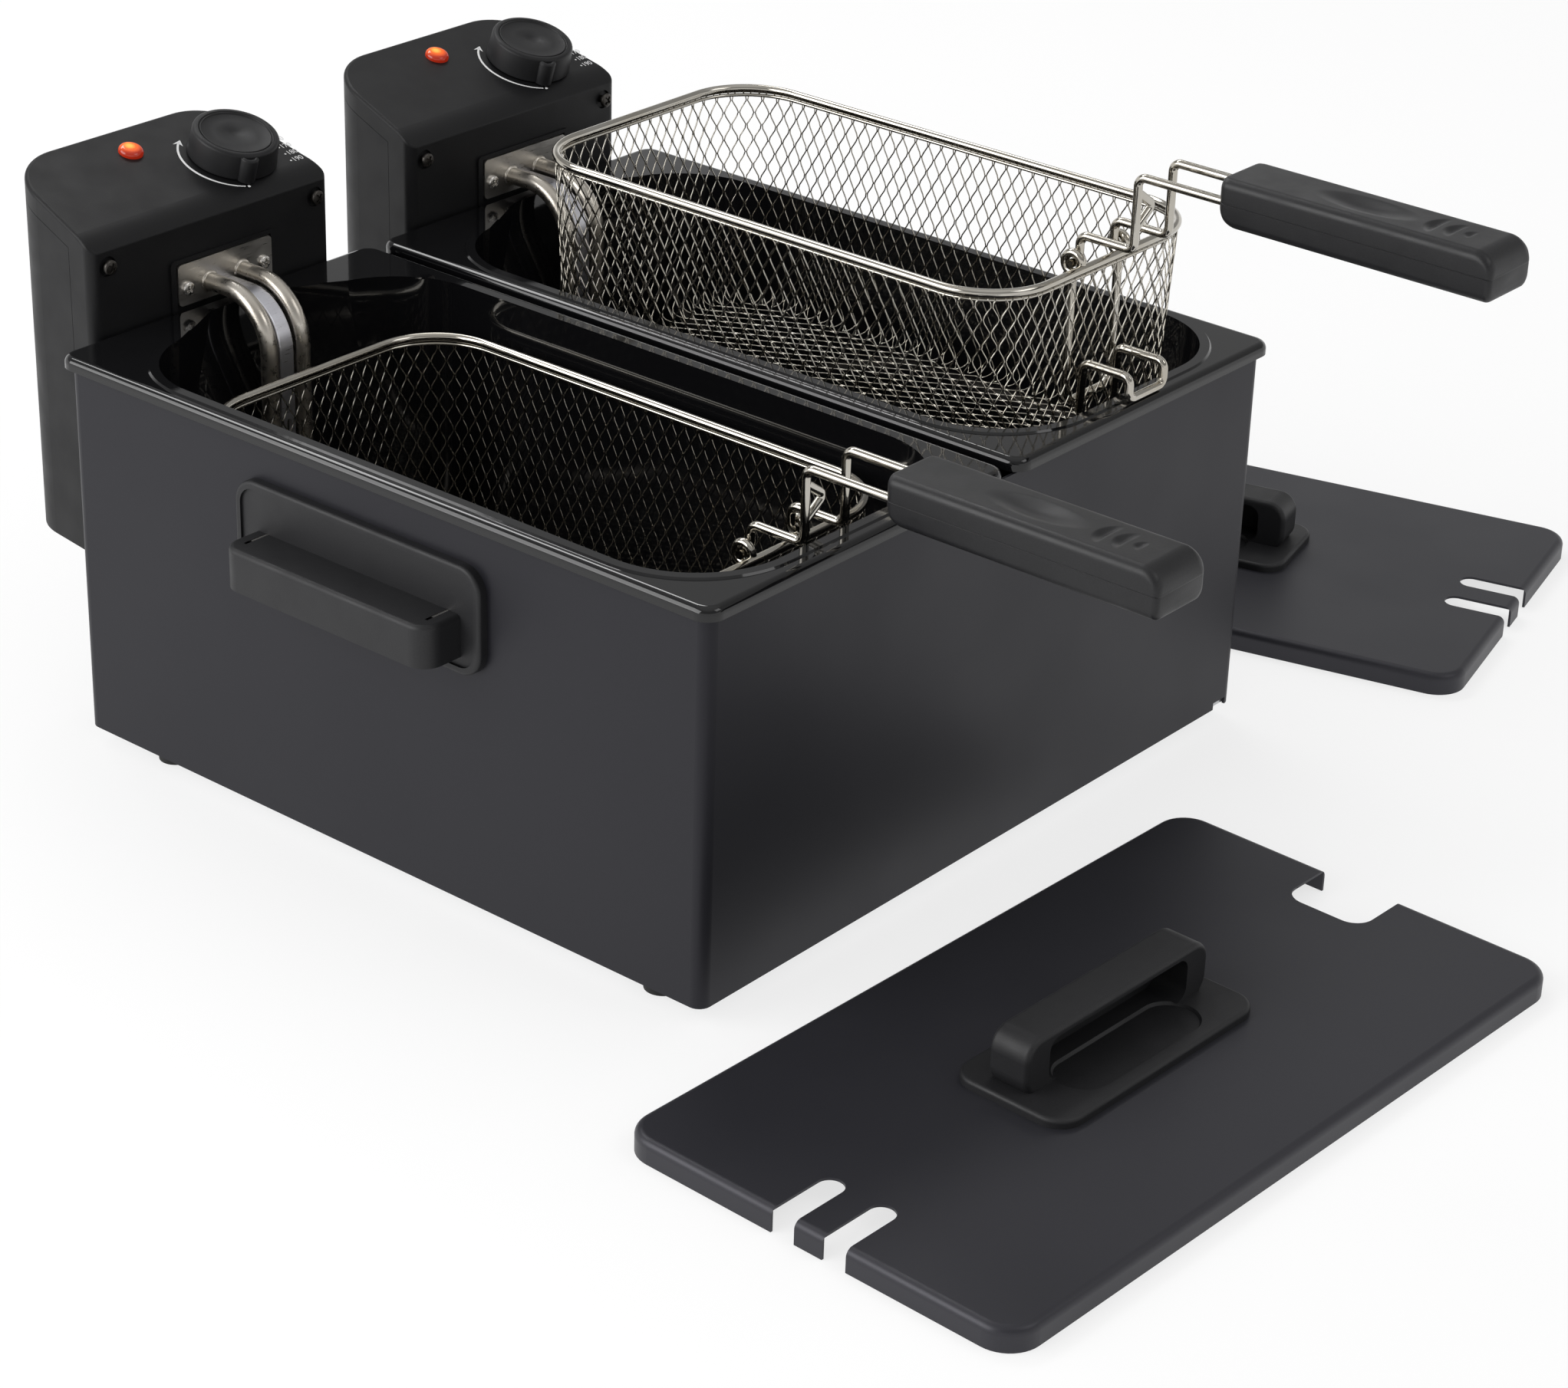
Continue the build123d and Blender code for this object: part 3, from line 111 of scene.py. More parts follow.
# %% [markdown]
# Black on white needs broad, soft light: a dark satin surface only shows its form by the pale shapes
# that it reflects. One large panel hangs over the left, a smaller one fills from the front, and a
# long strip behind draws the bright lines along the enamelled rims.

# %% Panels of light
def soft_panel(name, place, target, size, power):
    data = bpy.data.lights.new(name, "AREA")
    data.shape = "RECTANGLE"
    data.size, data.size_y = size
    data.energy = power
    lamp = bpy.data.objects.new(name, data)
    lamp.location = place
    lamp.rotation_euler = (Vector(target) - Vector(place)).to_track_quat("-Z", "Y").to_euler()
    bpy.context.scene.collection.objects.link(lamp)


soft_panel("panel_left", (-2.0, 1.0, 1.2), (0, 0, 0.08), (2.2, 1.6), 46)
soft_panel("panel_front", (0.6, -1.7, 1.9), (0, 0, 0.1), (1.2, 0.9), 7)
soft_panel("strip_back", (0.5, 1.5, 1.9), (0, 0, 0.15), (1.8, 0.35), 14)
print("lights", len(bpy.data.lights))

# %% [markdown]
# The surroundings are white to the lens, to mirrors and through glass, and throw less light than
# they seem to. A room that is white all round would wash a glossy black grey, so above the height
# that the lens ever sees the white fades to a dim band, as between the lamps of a studio, and comes
# back overhead.

# %% Surroundings
SKY_DIM = 0.38
SKY_HIGH = 0.7
SKY_FADE = (0.22, 0.36)
SKY_LIGHT = 0.6
FLOOR_REACH = 30
FLOOR_GAP = 0.2 * MM
FLOOR_PALE = 0.93
VEIL = 0.72


def show_white(tree, seen, lit):
    """Mix: rays from the lens, mirrors and glass meet the first shader, all others the second."""
    rays = tree.nodes.new("ShaderNodeLightPath")
    first = tree.nodes.new("ShaderNodeMath")
    first.operation = "MAXIMUM"
    tree.links.new(rays.outputs["Is Camera Ray"], first.inputs[0])
    tree.links.new(rays.outputs["Is Glossy Ray"], first.inputs[1])
    both = tree.nodes.new("ShaderNodeMath")
    both.operation = "MAXIMUM"
    tree.links.new(first.outputs[0], both.inputs[0])
    tree.links.new(rays.outputs["Is Transmission Ray"], both.inputs[1])
    mix = tree.nodes.new("ShaderNodeMixShader")
    tree.links.new(both.outputs[0], mix.inputs[0])
    tree.links.new(lit, mix.inputs[1])
    tree.links.new(seen, mix.inputs[2])
    return mix


def sky_band(tree):
    """Strength by the sine of the height angle: white low down, dim in the middle, pale overhead."""
    place = tree.nodes.new("ShaderNodeTexCoord")
    split = tree.nodes.new("ShaderNodeSeparateXYZ")
    tree.links.new(place.outputs["Generated"], split.inputs["Vector"])
    ramp = tree.nodes.new("ShaderNodeValToRGB")
    first, second = ramp.color_ramp.elements
    first.position, second.position = SKY_FADE
    first.color, second.color = (1, 1, 1, 1), (SKY_DIM, SKY_DIM, SKY_DIM, 1)
    for position, level in ((0.70, SKY_DIM), (0.92, SKY_HIGH)):
        ramp.color_ramp.elements.new(position).color = (level, level, level, 1)
    tree.links.new(split.outputs["Z"], ramp.inputs["Fac"])
    return ramp.outputs["Color"]


world = bpy.data.worlds.new("studio")
world.use_nodes = True
bpy.context.scene.world = world
tree = world.node_tree
lit = tree.nodes["Background"]
lit.inputs["Color"].default_value = (1, 1, 1, 1)
lit.inputs["Strength"].default_value = SKY_LIGHT
seen = tree.nodes.new("ShaderNodeBackground")
tree.links.new(sky_band(tree), seen.inputs["Color"])
seen.inputs["Strength"].default_value = 1.0
mix = show_white(tree, seen.outputs[0], lit.outputs[0])
tree.links.new(mix.outputs[0], tree.nodes["World Output"].inputs["Surface"])

bpy.context.scene.view_settings.view_transform = "Standard"

# The floor takes the fryer's shadow, and a veil of its own light lifts it towards pure white.
floor_height = cad_bounds[0][2]
floor_mesh = bpy.data.meshes.new("floor")
corners = [(x * FLOOR_REACH, y * FLOOR_REACH, floor_height - FLOOR_GAP)
           for x, y in ((-1, -1), (1, -1), (1, 1), (-1, 1))]
floor_mesh.from_pydata(corners, [], [(0, 1, 2, 3)])
floor = bpy.data.objects.new("floor", floor_mesh)
bpy.context.scene.collection.objects.link(floor)
floor_finish = bpy.data.materials.new("floor_white")
floor_finish.use_nodes = True
tree = floor_finish.node_tree
matt = tree.nodes["Principled BSDF"]
matt.inputs["Base Color"].default_value = (FLOOR_PALE, FLOOR_PALE, FLOOR_PALE, 1)
matt.inputs["Roughness"].default_value = 0.8
glow = tree.nodes.new("ShaderNodeEmission")
veil = tree.nodes.new("ShaderNodeMixShader")
veil.inputs[0].default_value = VEIL
tree.links.new(matt.outputs[0], veil.inputs[1])
tree.links.new(glow.outputs[0], veil.inputs[2])
mix = show_white(tree, veil.outputs[0], matt.outputs[0])
tree.links.new(mix.outputs[0], tree.nodes["Material Output"].inputs["Surface"])
floor_mesh.materials.append(floor_finish)
print("floor at", round(floor_height, 4))

# %% [markdown]
# Every finish starts from one helper: a Principled shader with its fixed values set on its own
# sockets. Noise on Object coordinates then varies the colour and the roughness a little, and a finer
# noise drives the bump. Object coordinates are metres here, so a noise with features a millimetre
# across has a scale of 1000.

# %% Finish helpers
def new_finish(name, colour, roughness, metallic=0.0, specular=0.5):
    material = bpy.data.materials.new(name)
    material.use_nodes = True
    shader = material.node_tree.nodes["Principled BSDF"]
    shader.inputs["Base Color"].default_value = (*colour, 1)
    shader.inputs["Roughness"].default_value = roughness
    shader.inputs["Metallic"].default_value = metallic
    shader.inputs["Specular IOR Level"].default_value = specular
    return material


def noise(material, size, detail=2.0, stretch=(1, 1, 1)):
    """Noise whose features are size metres across, drawn out along an axis by stretch."""
    tree = material.node_tree
    place = tree.nodes.new("ShaderNodeTexCoord")
    scale = tree.nodes.new("ShaderNodeMapping")
    scale.inputs["Scale"].default_value = stretch
    grain = tree.nodes.new("ShaderNodeTexNoise")
    grain.inputs["Scale"].default_value = 1 / size
    grain.inputs["Detail"].default_value = detail
    tree.links.new(place.outputs["Object"], scale.inputs["Vector"])
    tree.links.new(scale.outputs["Vector"], grain.inputs["Vector"])
    return grain.outputs["Fac"]


def vary(material, socket, source, low, high):
    """The socket runs from low to high as the source goes from 0.3 to 0.7."""
    tree = material.node_tree
    ramp = tree.nodes.new("ShaderNodeMapRange")
    ramp.inputs["From Min"].default_value = 0.3
    ramp.inputs["From Max"].default_value = 0.7
    ramp.inputs["To Min"].default_value = low
    ramp.inputs["To Max"].default_value = high
    tree.links.new(source, ramp.inputs["Value"])
    tree.links.new(ramp.outputs["Result"], tree.nodes["Principled BSDF"].inputs[socket])


def tint(material, source, dark, pale):
    """The base colour runs from dark to pale with the source."""
    tree = material.node_tree
    mix = tree.nodes.new("ShaderNodeMix")
    mix.data_type = "RGBA"
    mix.inputs["A"].default_value = (*dark, 1)
    mix.inputs["B"].default_value = (*pale, 1)
    tree.links.new(source, mix.inputs["Factor"])
    tree.links.new(mix.outputs["Result"], tree.nodes["Principled BSDF"].inputs["Base Color"])


def roughen(material, source, height, strength=1.0):
    """The source raises the surface by up to height metres, as bump."""
    tree = material.node_tree
    bump = tree.nodes.new("ShaderNodeBump")
    bump.inputs["Distance"].default_value = height
    bump.inputs["Strength"].default_value = strength
    tree.links.new(source, bump.inputs["Height"])
    tree.links.new(bump.outputs["Normal"], tree.nodes["Principled BSDF"].inputs["Normal"])

# %% [markdown]
# The casing and the lids are powder coated: a satin black with a very fine orange peel. The pots are
# vitreous enamel, which is glass, so it is nearly mirror smooth with a faint wave. Mould-grained
# black plastic makes the covers, the grips and the handles. These blacks differ in roughness and grain
# more than in colour, though the handles are a shade paler than the rest. The lids' coat is painted
# light: it is the casing's black made paler, to stand for the light that falls on the lids.

# %% Blacks
def powder_coat(name="black_paint", specular=0.3,
                dark=(0.007, 0.007, 0.009), pale=(0.012, 0.012, 0.0148)):
    finish = new_finish(name, pale, 0.42, specular=specular)
    finish.node_tree.nodes["Principled BSDF"].inputs["Specular Tint"].default_value = (0.93, 0.92, 1, 1)
    peel = noise(finish, 0.9 * MM, detail=3)
    roughen(finish, peel, 0.012 * MM, 0.8)
    vary(finish, "Roughness", noise(finish, 60 * MM), 0.38, 0.46)
    tint(finish, noise(finish, 0.35 * MM, detail=1), dark, pale)
    return finish


def enamel():
    finish = new_finish("black_enamel", (0.004, 0.004, 0.0045), 0.05, specular=0.42)
    finish.node_tree.nodes["Principled BSDF"].inputs["Coat Weight"].default_value = 0.1
    finish.node_tree.nodes["Principled BSDF"].inputs["Coat Roughness"].default_value = 0.02
    roughen(finish, noise(finish, 9 * MM), 0.03 * MM, 0.5)
    vary(finish, "Roughness", noise(finish, 45 * MM), 0.035, 0.08)
    return finish


def grained_plastic(name="black_plastic", roughness=(0.44, 0.56), grain=0.45, specular=0.34,
                    pale=0.018):
    finish = new_finish(name, [pale] * 3, 0.5, specular=specular)
    texture = noise(finish, grain * MM, detail=3)
    roughen(finish, texture, 0.035 * MM, 0.8)
    vary(finish, "Roughness", noise(finish, 14 * MM), *roughness)
    tint(finish, texture, (0.4 * pale, 0.4 * pale, 0.44 * pale), (pale, pale, 1.1 * pale))
    return finish


finishes = {"black_paint": powder_coat(), "black_enamel": enamel(), "black_plastic": grained_plastic(),
            # The lids' coat is the casing's powder coat made paler: painted light, for the light that falls on the
            # lids.
            "lid_paint_painted_light": powder_coat("lid_paint_painted_light", 0.45, (0.013, 0.013, 0.016), (0.021, 0.021, 0.0255)),
            "cover_plastic": grained_plastic("cover_plastic", (0.42, 0.52), 0.45, 0.22, 0.009),
            "grip_plastic": grained_plastic("grip_plastic", (0.36, 0.48), 0.6, 0.34, 0.016),
            "knob_plastic": grained_plastic("knob_plastic", (0.40, 0.50), 0.35, 0.28, 0.011)}
print("blacks", len(finishes))

# %% [markdown]
# The metals differ more. The baskets are bright plated wire, the tubes are steel that heat has dulled
# and warmed a little, and the element plate is bare stainless with the grain of the rolling mill,
# which a noise drawn out along one axis gives.

# %% Metals
def bright_wire():
    finish = new_finish("wire_chrome", (0.45, 0.43, 0.40), 0.1, metallic=1)
    vary(finish, "Roughness", noise(finish, 3 * MM), 0.06, 0.14)
    tint(finish, noise(finish, 25 * MM), (0.40, 0.36, 0.29), (0.52, 0.51, 0.48))
    roughen(finish, noise(finish, 1.6 * MM), 0.02 * MM, 0.5)
    return finish


def annealed_tube():
    finish = new_finish("element_steel", (0.50, 0.47, 0.42), 0.3, metallic=1)
    vary(finish, "Roughness", noise(finish, 2.5 * MM), 0.24, 0.38)
    tint(finish, noise(finish, 12 * MM, detail=4), (0.42, 0.38, 0.32), (0.60, 0.57, 0.52))
    roughen(finish, noise(finish, 0.5 * MM), 0.015 * MM, 0.6)
    return finish


def rolled_sheet(name="brushed_steel", dark=(0.46, 0.44, 0.41), pale=(0.62, 0.60, 0.57)):
    finish = new_finish(name, pale, 0.32, metallic=1)
    grain = noise(finish, 0.5 * MM, detail=3, stretch=(0.06, 1, 1))
    vary(finish, "Roughness", grain, 0.26, 0.42)
    tint(finish, noise(finish, 8 * MM), dark, pale)
    roughen(finish, grain, 0.01 * MM, 0.6)
    return finish


def plain_metal(name, colour, roughness):
    finish = new_finish(name, colour, roughness, metallic=1)
    vary(finish, "Roughness", noise(finish, 1.2 * MM), roughness * 0.8, roughness * 1.3)
    roughen(finish, noise(finish, 0.8 * MM), 0.01 * MM, 0.6)
    return finish


finishes["wire_chrome"] = bright_wire()
finishes["element_steel"] = annealed_tube()
finishes["brushed_steel"] = rolled_sheet()
finishes["guard_steel"] = rolled_sheet("guard_steel", (0.62, 0.62, 0.66), (0.80, 0.80, 0.86))
finishes["zinc_steel"] = rolled_sheet("zinc_steel", (0.42, 0.43, 0.44), (0.58, 0.59, 0.60))
finishes["screw_steel"] = plain_metal("screw_steel", (0.62, 0.60, 0.57), 0.24)
finishes["screw_black"] = plain_metal("screw_black", (0.07, 0.065, 0.06), 0.36)

# %% [markdown]
# What is left is small: rubber feet, a white ceramic block, the red reset button, white printing and
# the lamp. The lamp is on, so its amber plastic glows: the emission is strongest in the middle, where
# a distance from the lens's centre turns orange into yellow.

# %% Small finishes
def rubber():
    finish = new_finish("foot_rubber", (0.016, 0.016, 0.016), 0.7, specular=0.3)
    roughen(finish, noise(finish, 0.6 * MM), 0.04 * MM, 0.8)
    vary(finish, "Roughness", noise(finish, 4 * MM), 0.62, 0.78)
    return finish


def moulded(name, dark, pale, roughness):
    finish = new_finish(name, pale, roughness)
    texture = noise(finish, 0.5 * MM)
    tint(finish, texture, dark, pale)
    roughen(finish, texture, 0.02 * MM, 0.6)
    vary(finish, "Roughness", noise(finish, 5 * MM), roughness * 0.85, roughness * 1.2)
    return finish


finishes["foot_rubber"] = rubber()
finishes["ceramic_white"] = moulded("ceramic_white", (0.70, 0.68, 0.64), (0.80, 0.78, 0.74), 0.4)
finishes["red_plastic"] = moulded("red_plastic", (0.42, 0.02, 0.02), (0.55, 0.03, 0.03), 0.3)
finishes["print_white"] = moulded("print_white", (0.74, 0.74, 0.74), (0.84, 0.84, 0.84), 0.55)


def lamp_amber(name, centre):
    """Amber plastic that glows: the glow falls off with the distance from the lens's crown."""
    finish = new_finish(name, (0.30, 0.02, 0.004), 0.1)
    tree = finish.node_tree
    place = tree.nodes.new("ShaderNodeTexCoord")
    away = tree.nodes.new("ShaderNodeVectorMath")
    away.operation = "DISTANCE"
    away.inputs[1].default_value = centre
    tree.links.new(place.outputs["Object"], away.inputs[0])
    ramp = tree.nodes.new("ShaderNodeValToRGB")
    ramp.color_ramp.elements[0].color = (1.0, 0.62, 0.10, 1)
    ramp.color_ramp.elements[1].color = (0.16, 0.006, 0.002, 1)
    ramp.color_ramp.elements.new(0.4).color = (1.0, 0.17, 0.012, 1)
    scale = tree.nodes.new("ShaderNodeMapRange")
    scale.inputs["From Min"].default_value = 0.8 * MM
    scale.inputs["From Max"].default_value = 5 * MM
    tree.links.new(away.outputs["Value"], scale.inputs["Value"])
    tree.links.new(scale.outputs["Result"], ramp.inputs["Fac"])
    shader = tree.nodes["Principled BSDF"]
    tree.links.new(ramp.outputs["Color"], shader.inputs["Emission Color"])
    shader.inputs["Emission Strength"].default_value = 0.9
    return finish


# %% [markdown]
# The solids whose shapes are right keep them, and only take a finish. Most follow the record's slot
# for the piece. A few go their own way: lids, covers, grips and knobs each have their own black, the
# screws in the covers are blackened, and each lamp needs the place of its own centre.

# %% Finishes on the solids
# The lids take the paler copy of the casing's coat, which is painted light.
own_finish = {"lid_panel": "lid_paint_painted_light", "panel_cover": "cover_plastic", "rear_cover": "cover_plastic",
              "knob": "knob_plastic", "grip_upper": "grip_plastic", "grip_lower": "grip_plastic",
              "cover_screws": "screw_black", "sensor_guard": "guard_steel"}


def crown_of(node):
    low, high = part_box(node)
    return (low[0] + high[0]) / 2, (low[1] + high[1]) / 2, high[2] - 0.5 * MM


for side in SIDES:
    finishes[f"lamp_{side}"] = lamp_amber(f"lamp_{side}", crown_of(f"lens_{side}"))
    own_finish[f"lens_{side}"] = f"lamp_{side}"

for name, node in frame["nodes"].items():
    family = name.removesuffix("_left").removesuffix("_right")
    finish = finishes[own_finish.get(name) or own_finish.get(family) or slot_of[name]]
    node.data.materials.clear()
    node.data.materials.append(finish)
print("dressed", len(frame["nodes"]), "solids")

# %% [markdown]
# A round wire is a ring of points carried along a path. The ring stands across the path: one of its
# axes is the path's direction crossed with a chosen normal, and the other is across both. As arrays,
# one call can sweep a single rim or two hundred strands of mesh. Turned pieces need less: rings of
# points stacked along an axis, joined by bands of quads, with a fan of triangles at each end.

# %% Swept wires
def unit(vectors):
    return vectors / np.linalg.norm(vectors, axis=-1, keepdims=True)


def swept(paths, normals, radius, sides, closed=False):
    """Points: path + radius * (cos a * across + sin a * lift), with a going round each ring."""
    if closed:
        ahead = np.roll(paths, -1, axis=1) - np.roll(paths, 1, axis=1)
    else:
        ahead = np.gradient(paths, axis=1)
    across = unit(np.cross(ahead, normals))
    lift = unit(np.cross(across, ahead))
    turn = np.arange(sides) * 2 * pi / sides
    spokes = np.cos(turn)[:, None] * across[:, :, None] + np.sin(turn)[:, None] * lift[:, :, None]
    points = paths[:, :, None] + radius * spokes
    count, steps = paths.shape[:2]
    index = np.arange(count * steps * sides).reshape(count, steps, sides)
    following = np.roll(index, -1, axis=1) if closed else index[:, 1:]
    here = index if closed else index[:, :-1]
    corners = [here, following, np.roll(following, -1, axis=2), np.roll(here, -1, axis=2)]
    faces = np.stack(corners, axis=-1).reshape(-1, 4).tolist()
    if not closed:
        faces += index[:, 0].tolist() + index[:, -1, ::-1].tolist()
    return points.reshape(-1, 3), faces


def bands(index):
    """Quads between each ring of point numbers and the next one up."""
    here, after = index[:-1], index[1:]
    quads = np.stack([here, np.roll(here, -1, axis=1), np.roll(after, -1, axis=1), after], axis=-1)
    return quads.reshape(-1, 4).tolist()


def fanned(rings):
    """A closed skin over stacked rings, of which the first and the last are a single point."""
    count, sides = rings.shape[0] - 2, rings.shape[1]
    index = 1 + np.arange(count * sides).reshape(count, sides)
    low = np.stack([0 * index[0], np.roll(index[0], -1), index[0]], axis=-1)
    high = np.stack([0 * index[0] + 1 + count * sides, index[-1], np.roll(index[-1], -1)], axis=-1)
    points = np.concatenate([rings[:1, 0], rings[1:-1].reshape(-1, 3), rings[-1:, 0]])
    return points, bands(index) + low.tolist() + high.tolist()


def new_piece(name, parts, finish, body, smooth=True, crease=None):
    """One mesh from several (points, faces) parts, finished and riding on a body.

    Edges that turn by more than the crease angle stay sharp in a smooth piece.
    """
    points, faces, start = [], [], 0
    for part_points, part_faces in parts:
        points.append(part_points)
        faces += [[corner + start for corner in face] for face in part_faces]
        start += len(part_points)
    mesh = bpy.data.meshes.new(name)
    mesh.from_pydata(np.concatenate(points).tolist(), [], faces)
    mesh.polygons.foreach_set("use_smooth", [smooth] * len(mesh.polygons))
    mesh.materials.append(finish)
    if crease:
        mesh.set_sharp_from_angle(angle=crease)
    mesh.update()
    piece = bpy.data.objects.new(name, mesh)
    bpy.context.scene.collection.objects.link(piece)
    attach(piece, body)
    return piece


# %% [markdown]
# The baskets are knitted from thin plated wire. Every strand runs down the wall in a zigzag, and
# where it swings towards its neighbour the two lie together for a moment and make a knot, so the gaps
# are diamonds. Two functions give that: one walks round the rim, a rounded rectangle, and one is the
# zigzag, a triangle wave with its tips cut flat.

# %% Woven baskets
CELL_WIDTH = 6.6 * MM
CELL_HEIGHT = 11.3 * MM
STRAND = 0.3 * MM
KNOT_GAP = 1.9 * STRAND
TIP_CUT = 1.3
EDGE_WIRE = 0.75 * MM
EDGE_INSET = 0.6 * MM
EDGE_DROP = 0.8 * MM
BASKET_DRAFT = radians(3)
BASKET_CORNER = 28.5 * MM
FLOOR_ROUND = 5 * MM


def round_loop(along, half_x, half_y, corner):
    """A rounded rectangle walked from the middle of its front: place and outward direction.

    The centre of curvature slides along the straights and waits at the corners, while the direction
    waits on the straights and turns a quarter at each corner. Place = centre + corner * direction.
    """
    run_x, run_y, turn = half_x - corner, half_y - corner, corner * pi / 2
    knots = np.cumsum([0, run_x, turn, 2 * run_y, turn, 2 * run_x, turn, 2 * run_y, turn, run_x])
    centre_x = np.interp(along, knots, run_x * np.array([0, 1, 1, 1, 1, -1, -1, -1, -1, 0]))
    centre_y = np.interp(along, knots, run_y * np.array([-1, -1, -1, 1, 1, 1, 1, -1, -1, -1]))
    angle = np.interp(along, knots, np.array([-1, -1, 0, 0, 1, 1, 2, 2, 3, 3]) * pi / 2)
    direction = np.stack([np.cos(angle), np.sin(angle), np.zeros_like(angle)], axis=-1)
    centre = np.stack([centre_x, centre_y, np.zeros_like(angle)], axis=-1)
    return centre + corner * direction, direction, knots[-1]


def zigzag(phase):
    """Straight runs between -1 and 1, two for each whole step of phase, with flat tips."""
    return np.clip(TIP_CUT * 2 / pi * np.arcsin(np.sin(pi * phase)), -1, 1)


def woven_walls(half_x, half_y, height):
    """Strands round the walls: depth runs down the wall, then round the bottom edge onto the floor."""
    length = round_loop(np.zeros(1), half_x, half_y, BASKET_CORNER)[2]
    count = 2 * round(length / CELL_WIDTH)
    straight = height - FLOOR_ROUND
    down = np.linspace(0, straight + FLOOR_ROUND * pi / 2, 56)
    sign = np.where(np.arange(count) % 2, 1.0, -1.0)[:, None]
    swing = (length / count - KNOT_GAP) / 2 * sign * zigzag(2 * down / CELL_HEIGHT)
    along = (np.arange(count)[:, None] * length / count + swing) % length
    rim, outward, _ = round_loop(along, half_x, half_y, BASKET_CORNER)
    bend = np.clip((down - straight) / FLOOR_ROUND, 0, pi / 2)
    inset = np.minimum(down, straight) * tan(BASKET_DRAFT) + FLOOR_ROUND * (1 - np.cos(bend))
    drop = np.minimum(down, straight) + FLOOR_ROUND * np.sin(bend)
    upright = np.array([0, 0, 1.0])
    paths = rim - outward * inset[:, None] - upright * drop[:, None]
    normals = outward * np.cos(bend)[:, None] - upright * np.sin(bend)[:, None]
    return swept(paths, normals, STRAND, 5)


def woven_floor(half_x, half_y, height):
    """Strands from front to back, each as long as the rounded rectangle is at its place."""
    inset = (height - FLOOR_ROUND) * tan(BASKET_DRAFT) + FLOOR_ROUND * 0.9
    half_x, half_y, corner = half_x - inset, half_y - inset, BASKET_CORNER - inset
    count = 2 * int(half_x / CELL_WIDTH) + 1
    across = (np.arange(2 * count) - count + 0.5) * CELL_WIDTH / 2
    beyond = np.clip(np.abs(across) - (half_x - corner), 0, corner)
    reach = half_y - corner + np.sqrt(corner ** 2 - beyond ** 2)
    lengthwise = reach[:, None] * np.linspace(-1, 1, 130)
    sign = np.where(np.arange(2 * count) % 2, 1.0, -1.0)[:, None]
    swing = (CELL_WIDTH / 2 - KNOT_GAP) / 2 * sign * zigzag(2 * lengthwise / CELL_HEIGHT)
    paths = np.stack([across[:, None] + swing, lengthwise, np.full_like(lengthwise, -height)], axis=-1)
    return swept(paths, np.broadcast_to([0, 0, 1.0], paths.shape), STRAND, 5)


def edge_wire(half_x, half_y):
    """The thin wire that the strands are turned over, just under the rim."""
    length = round_loop(np.zeros(1), half_x, half_y, BASKET_CORNER)[2]
    along = np.linspace(0, length, 240, endpoint=False)
    path, outward, _ = round_loop(along, half_x, half_y, BASKET_CORNER)
    points, faces = swept(path[None], outward[None], EDGE_WIRE, 8, closed=True)
    return points - [0, 0, EDGE_DROP], faces


def woven_basket(side):
    node = f"basket_mesh_{side}"
    low, high = (np.array(corner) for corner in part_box(node))
    half_x, half_y = (high[:2] - low[:2]) / 2 - STRAND
    height = high[2] - low[2] - STRAND
    place = np.array([*(low[:2] + high[:2]) / 2, high[2]])
    parts = [woven_walls(half_x, half_y, height), woven_floor(half_x, half_y, height),
             edge_wire(half_x - EDGE_INSET, half_y - EDGE_INSET)]
    parts = [(points + place, faces) for points, faces in parts]
    basket = new_piece(f"woven_basket_{side}", parts, finishes["wire_chrome"], f"basket_{side}")
    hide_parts(node)
    return basket


for side in SIDES:
    print(side, "basket faces", len(woven_basket(side).data.polygons))

# %% [markdown]
# A grip is moulded in two halves that meet at the height of the wires, with a fine line between
# them. The upper half has a shallow dish for the thumb and three small hollows after it, so soft
# that they have no edge. So each half is a section carried along the grip, and the top's height is
# worked out for every point: the flat height, less a round-off at each end, less a bump function
# for each hollow, which is one in its middle and reaches nought smoothly at an ellipse's edge.

# %% Grips
GRIP_LENGTH = 113 * MM
GRIP_EDGE = 3.4 * MM
GRIP_NEAR_CORNER = 4 * MM
GRIP_FAR_CORNER = 2.2 * MM
PARTING = 0.25 * MM
UPPER_ROUNDS = (2 * MM, 8 * MM)
LOWER_ROUNDS = (8 * MM, 2.4 * MM)
GRIP_END = 9 * MM
# Each hollow: its place along the grip, half length, half width, depth, and how far its middle bows.
HOLLOWS = np.array([(54, 22, 8, 1.7, 0), (81, 2.8, 8.6, 1.1, 2.4),
                    (88.5, 2.7, 7.6, 1.0, 2.4), (95.5, 2.0, 4, 0.6, 1.2)]) * MM


def round_off(distance, radius):
    """How far a corner of that radius has fallen back at a distance from the end."""
    near = np.clip(radius - distance, 0, radius)
    return radius - np.sqrt(radius ** 2 - near ** 2)


def soft_hollow(along, across, place, half_length, half_width, depth, bow):
    """depth * (1 - r^2)^2, where r is the distance from the bowed middle, as a share of the ellipse."""
    sideways = (across / half_width) ** 2
    lengthways = ((along - place - bow * sideways) / half_length) ** 2
    return depth * np.clip(1 - lengthways - sideways, 0, None) ** 2


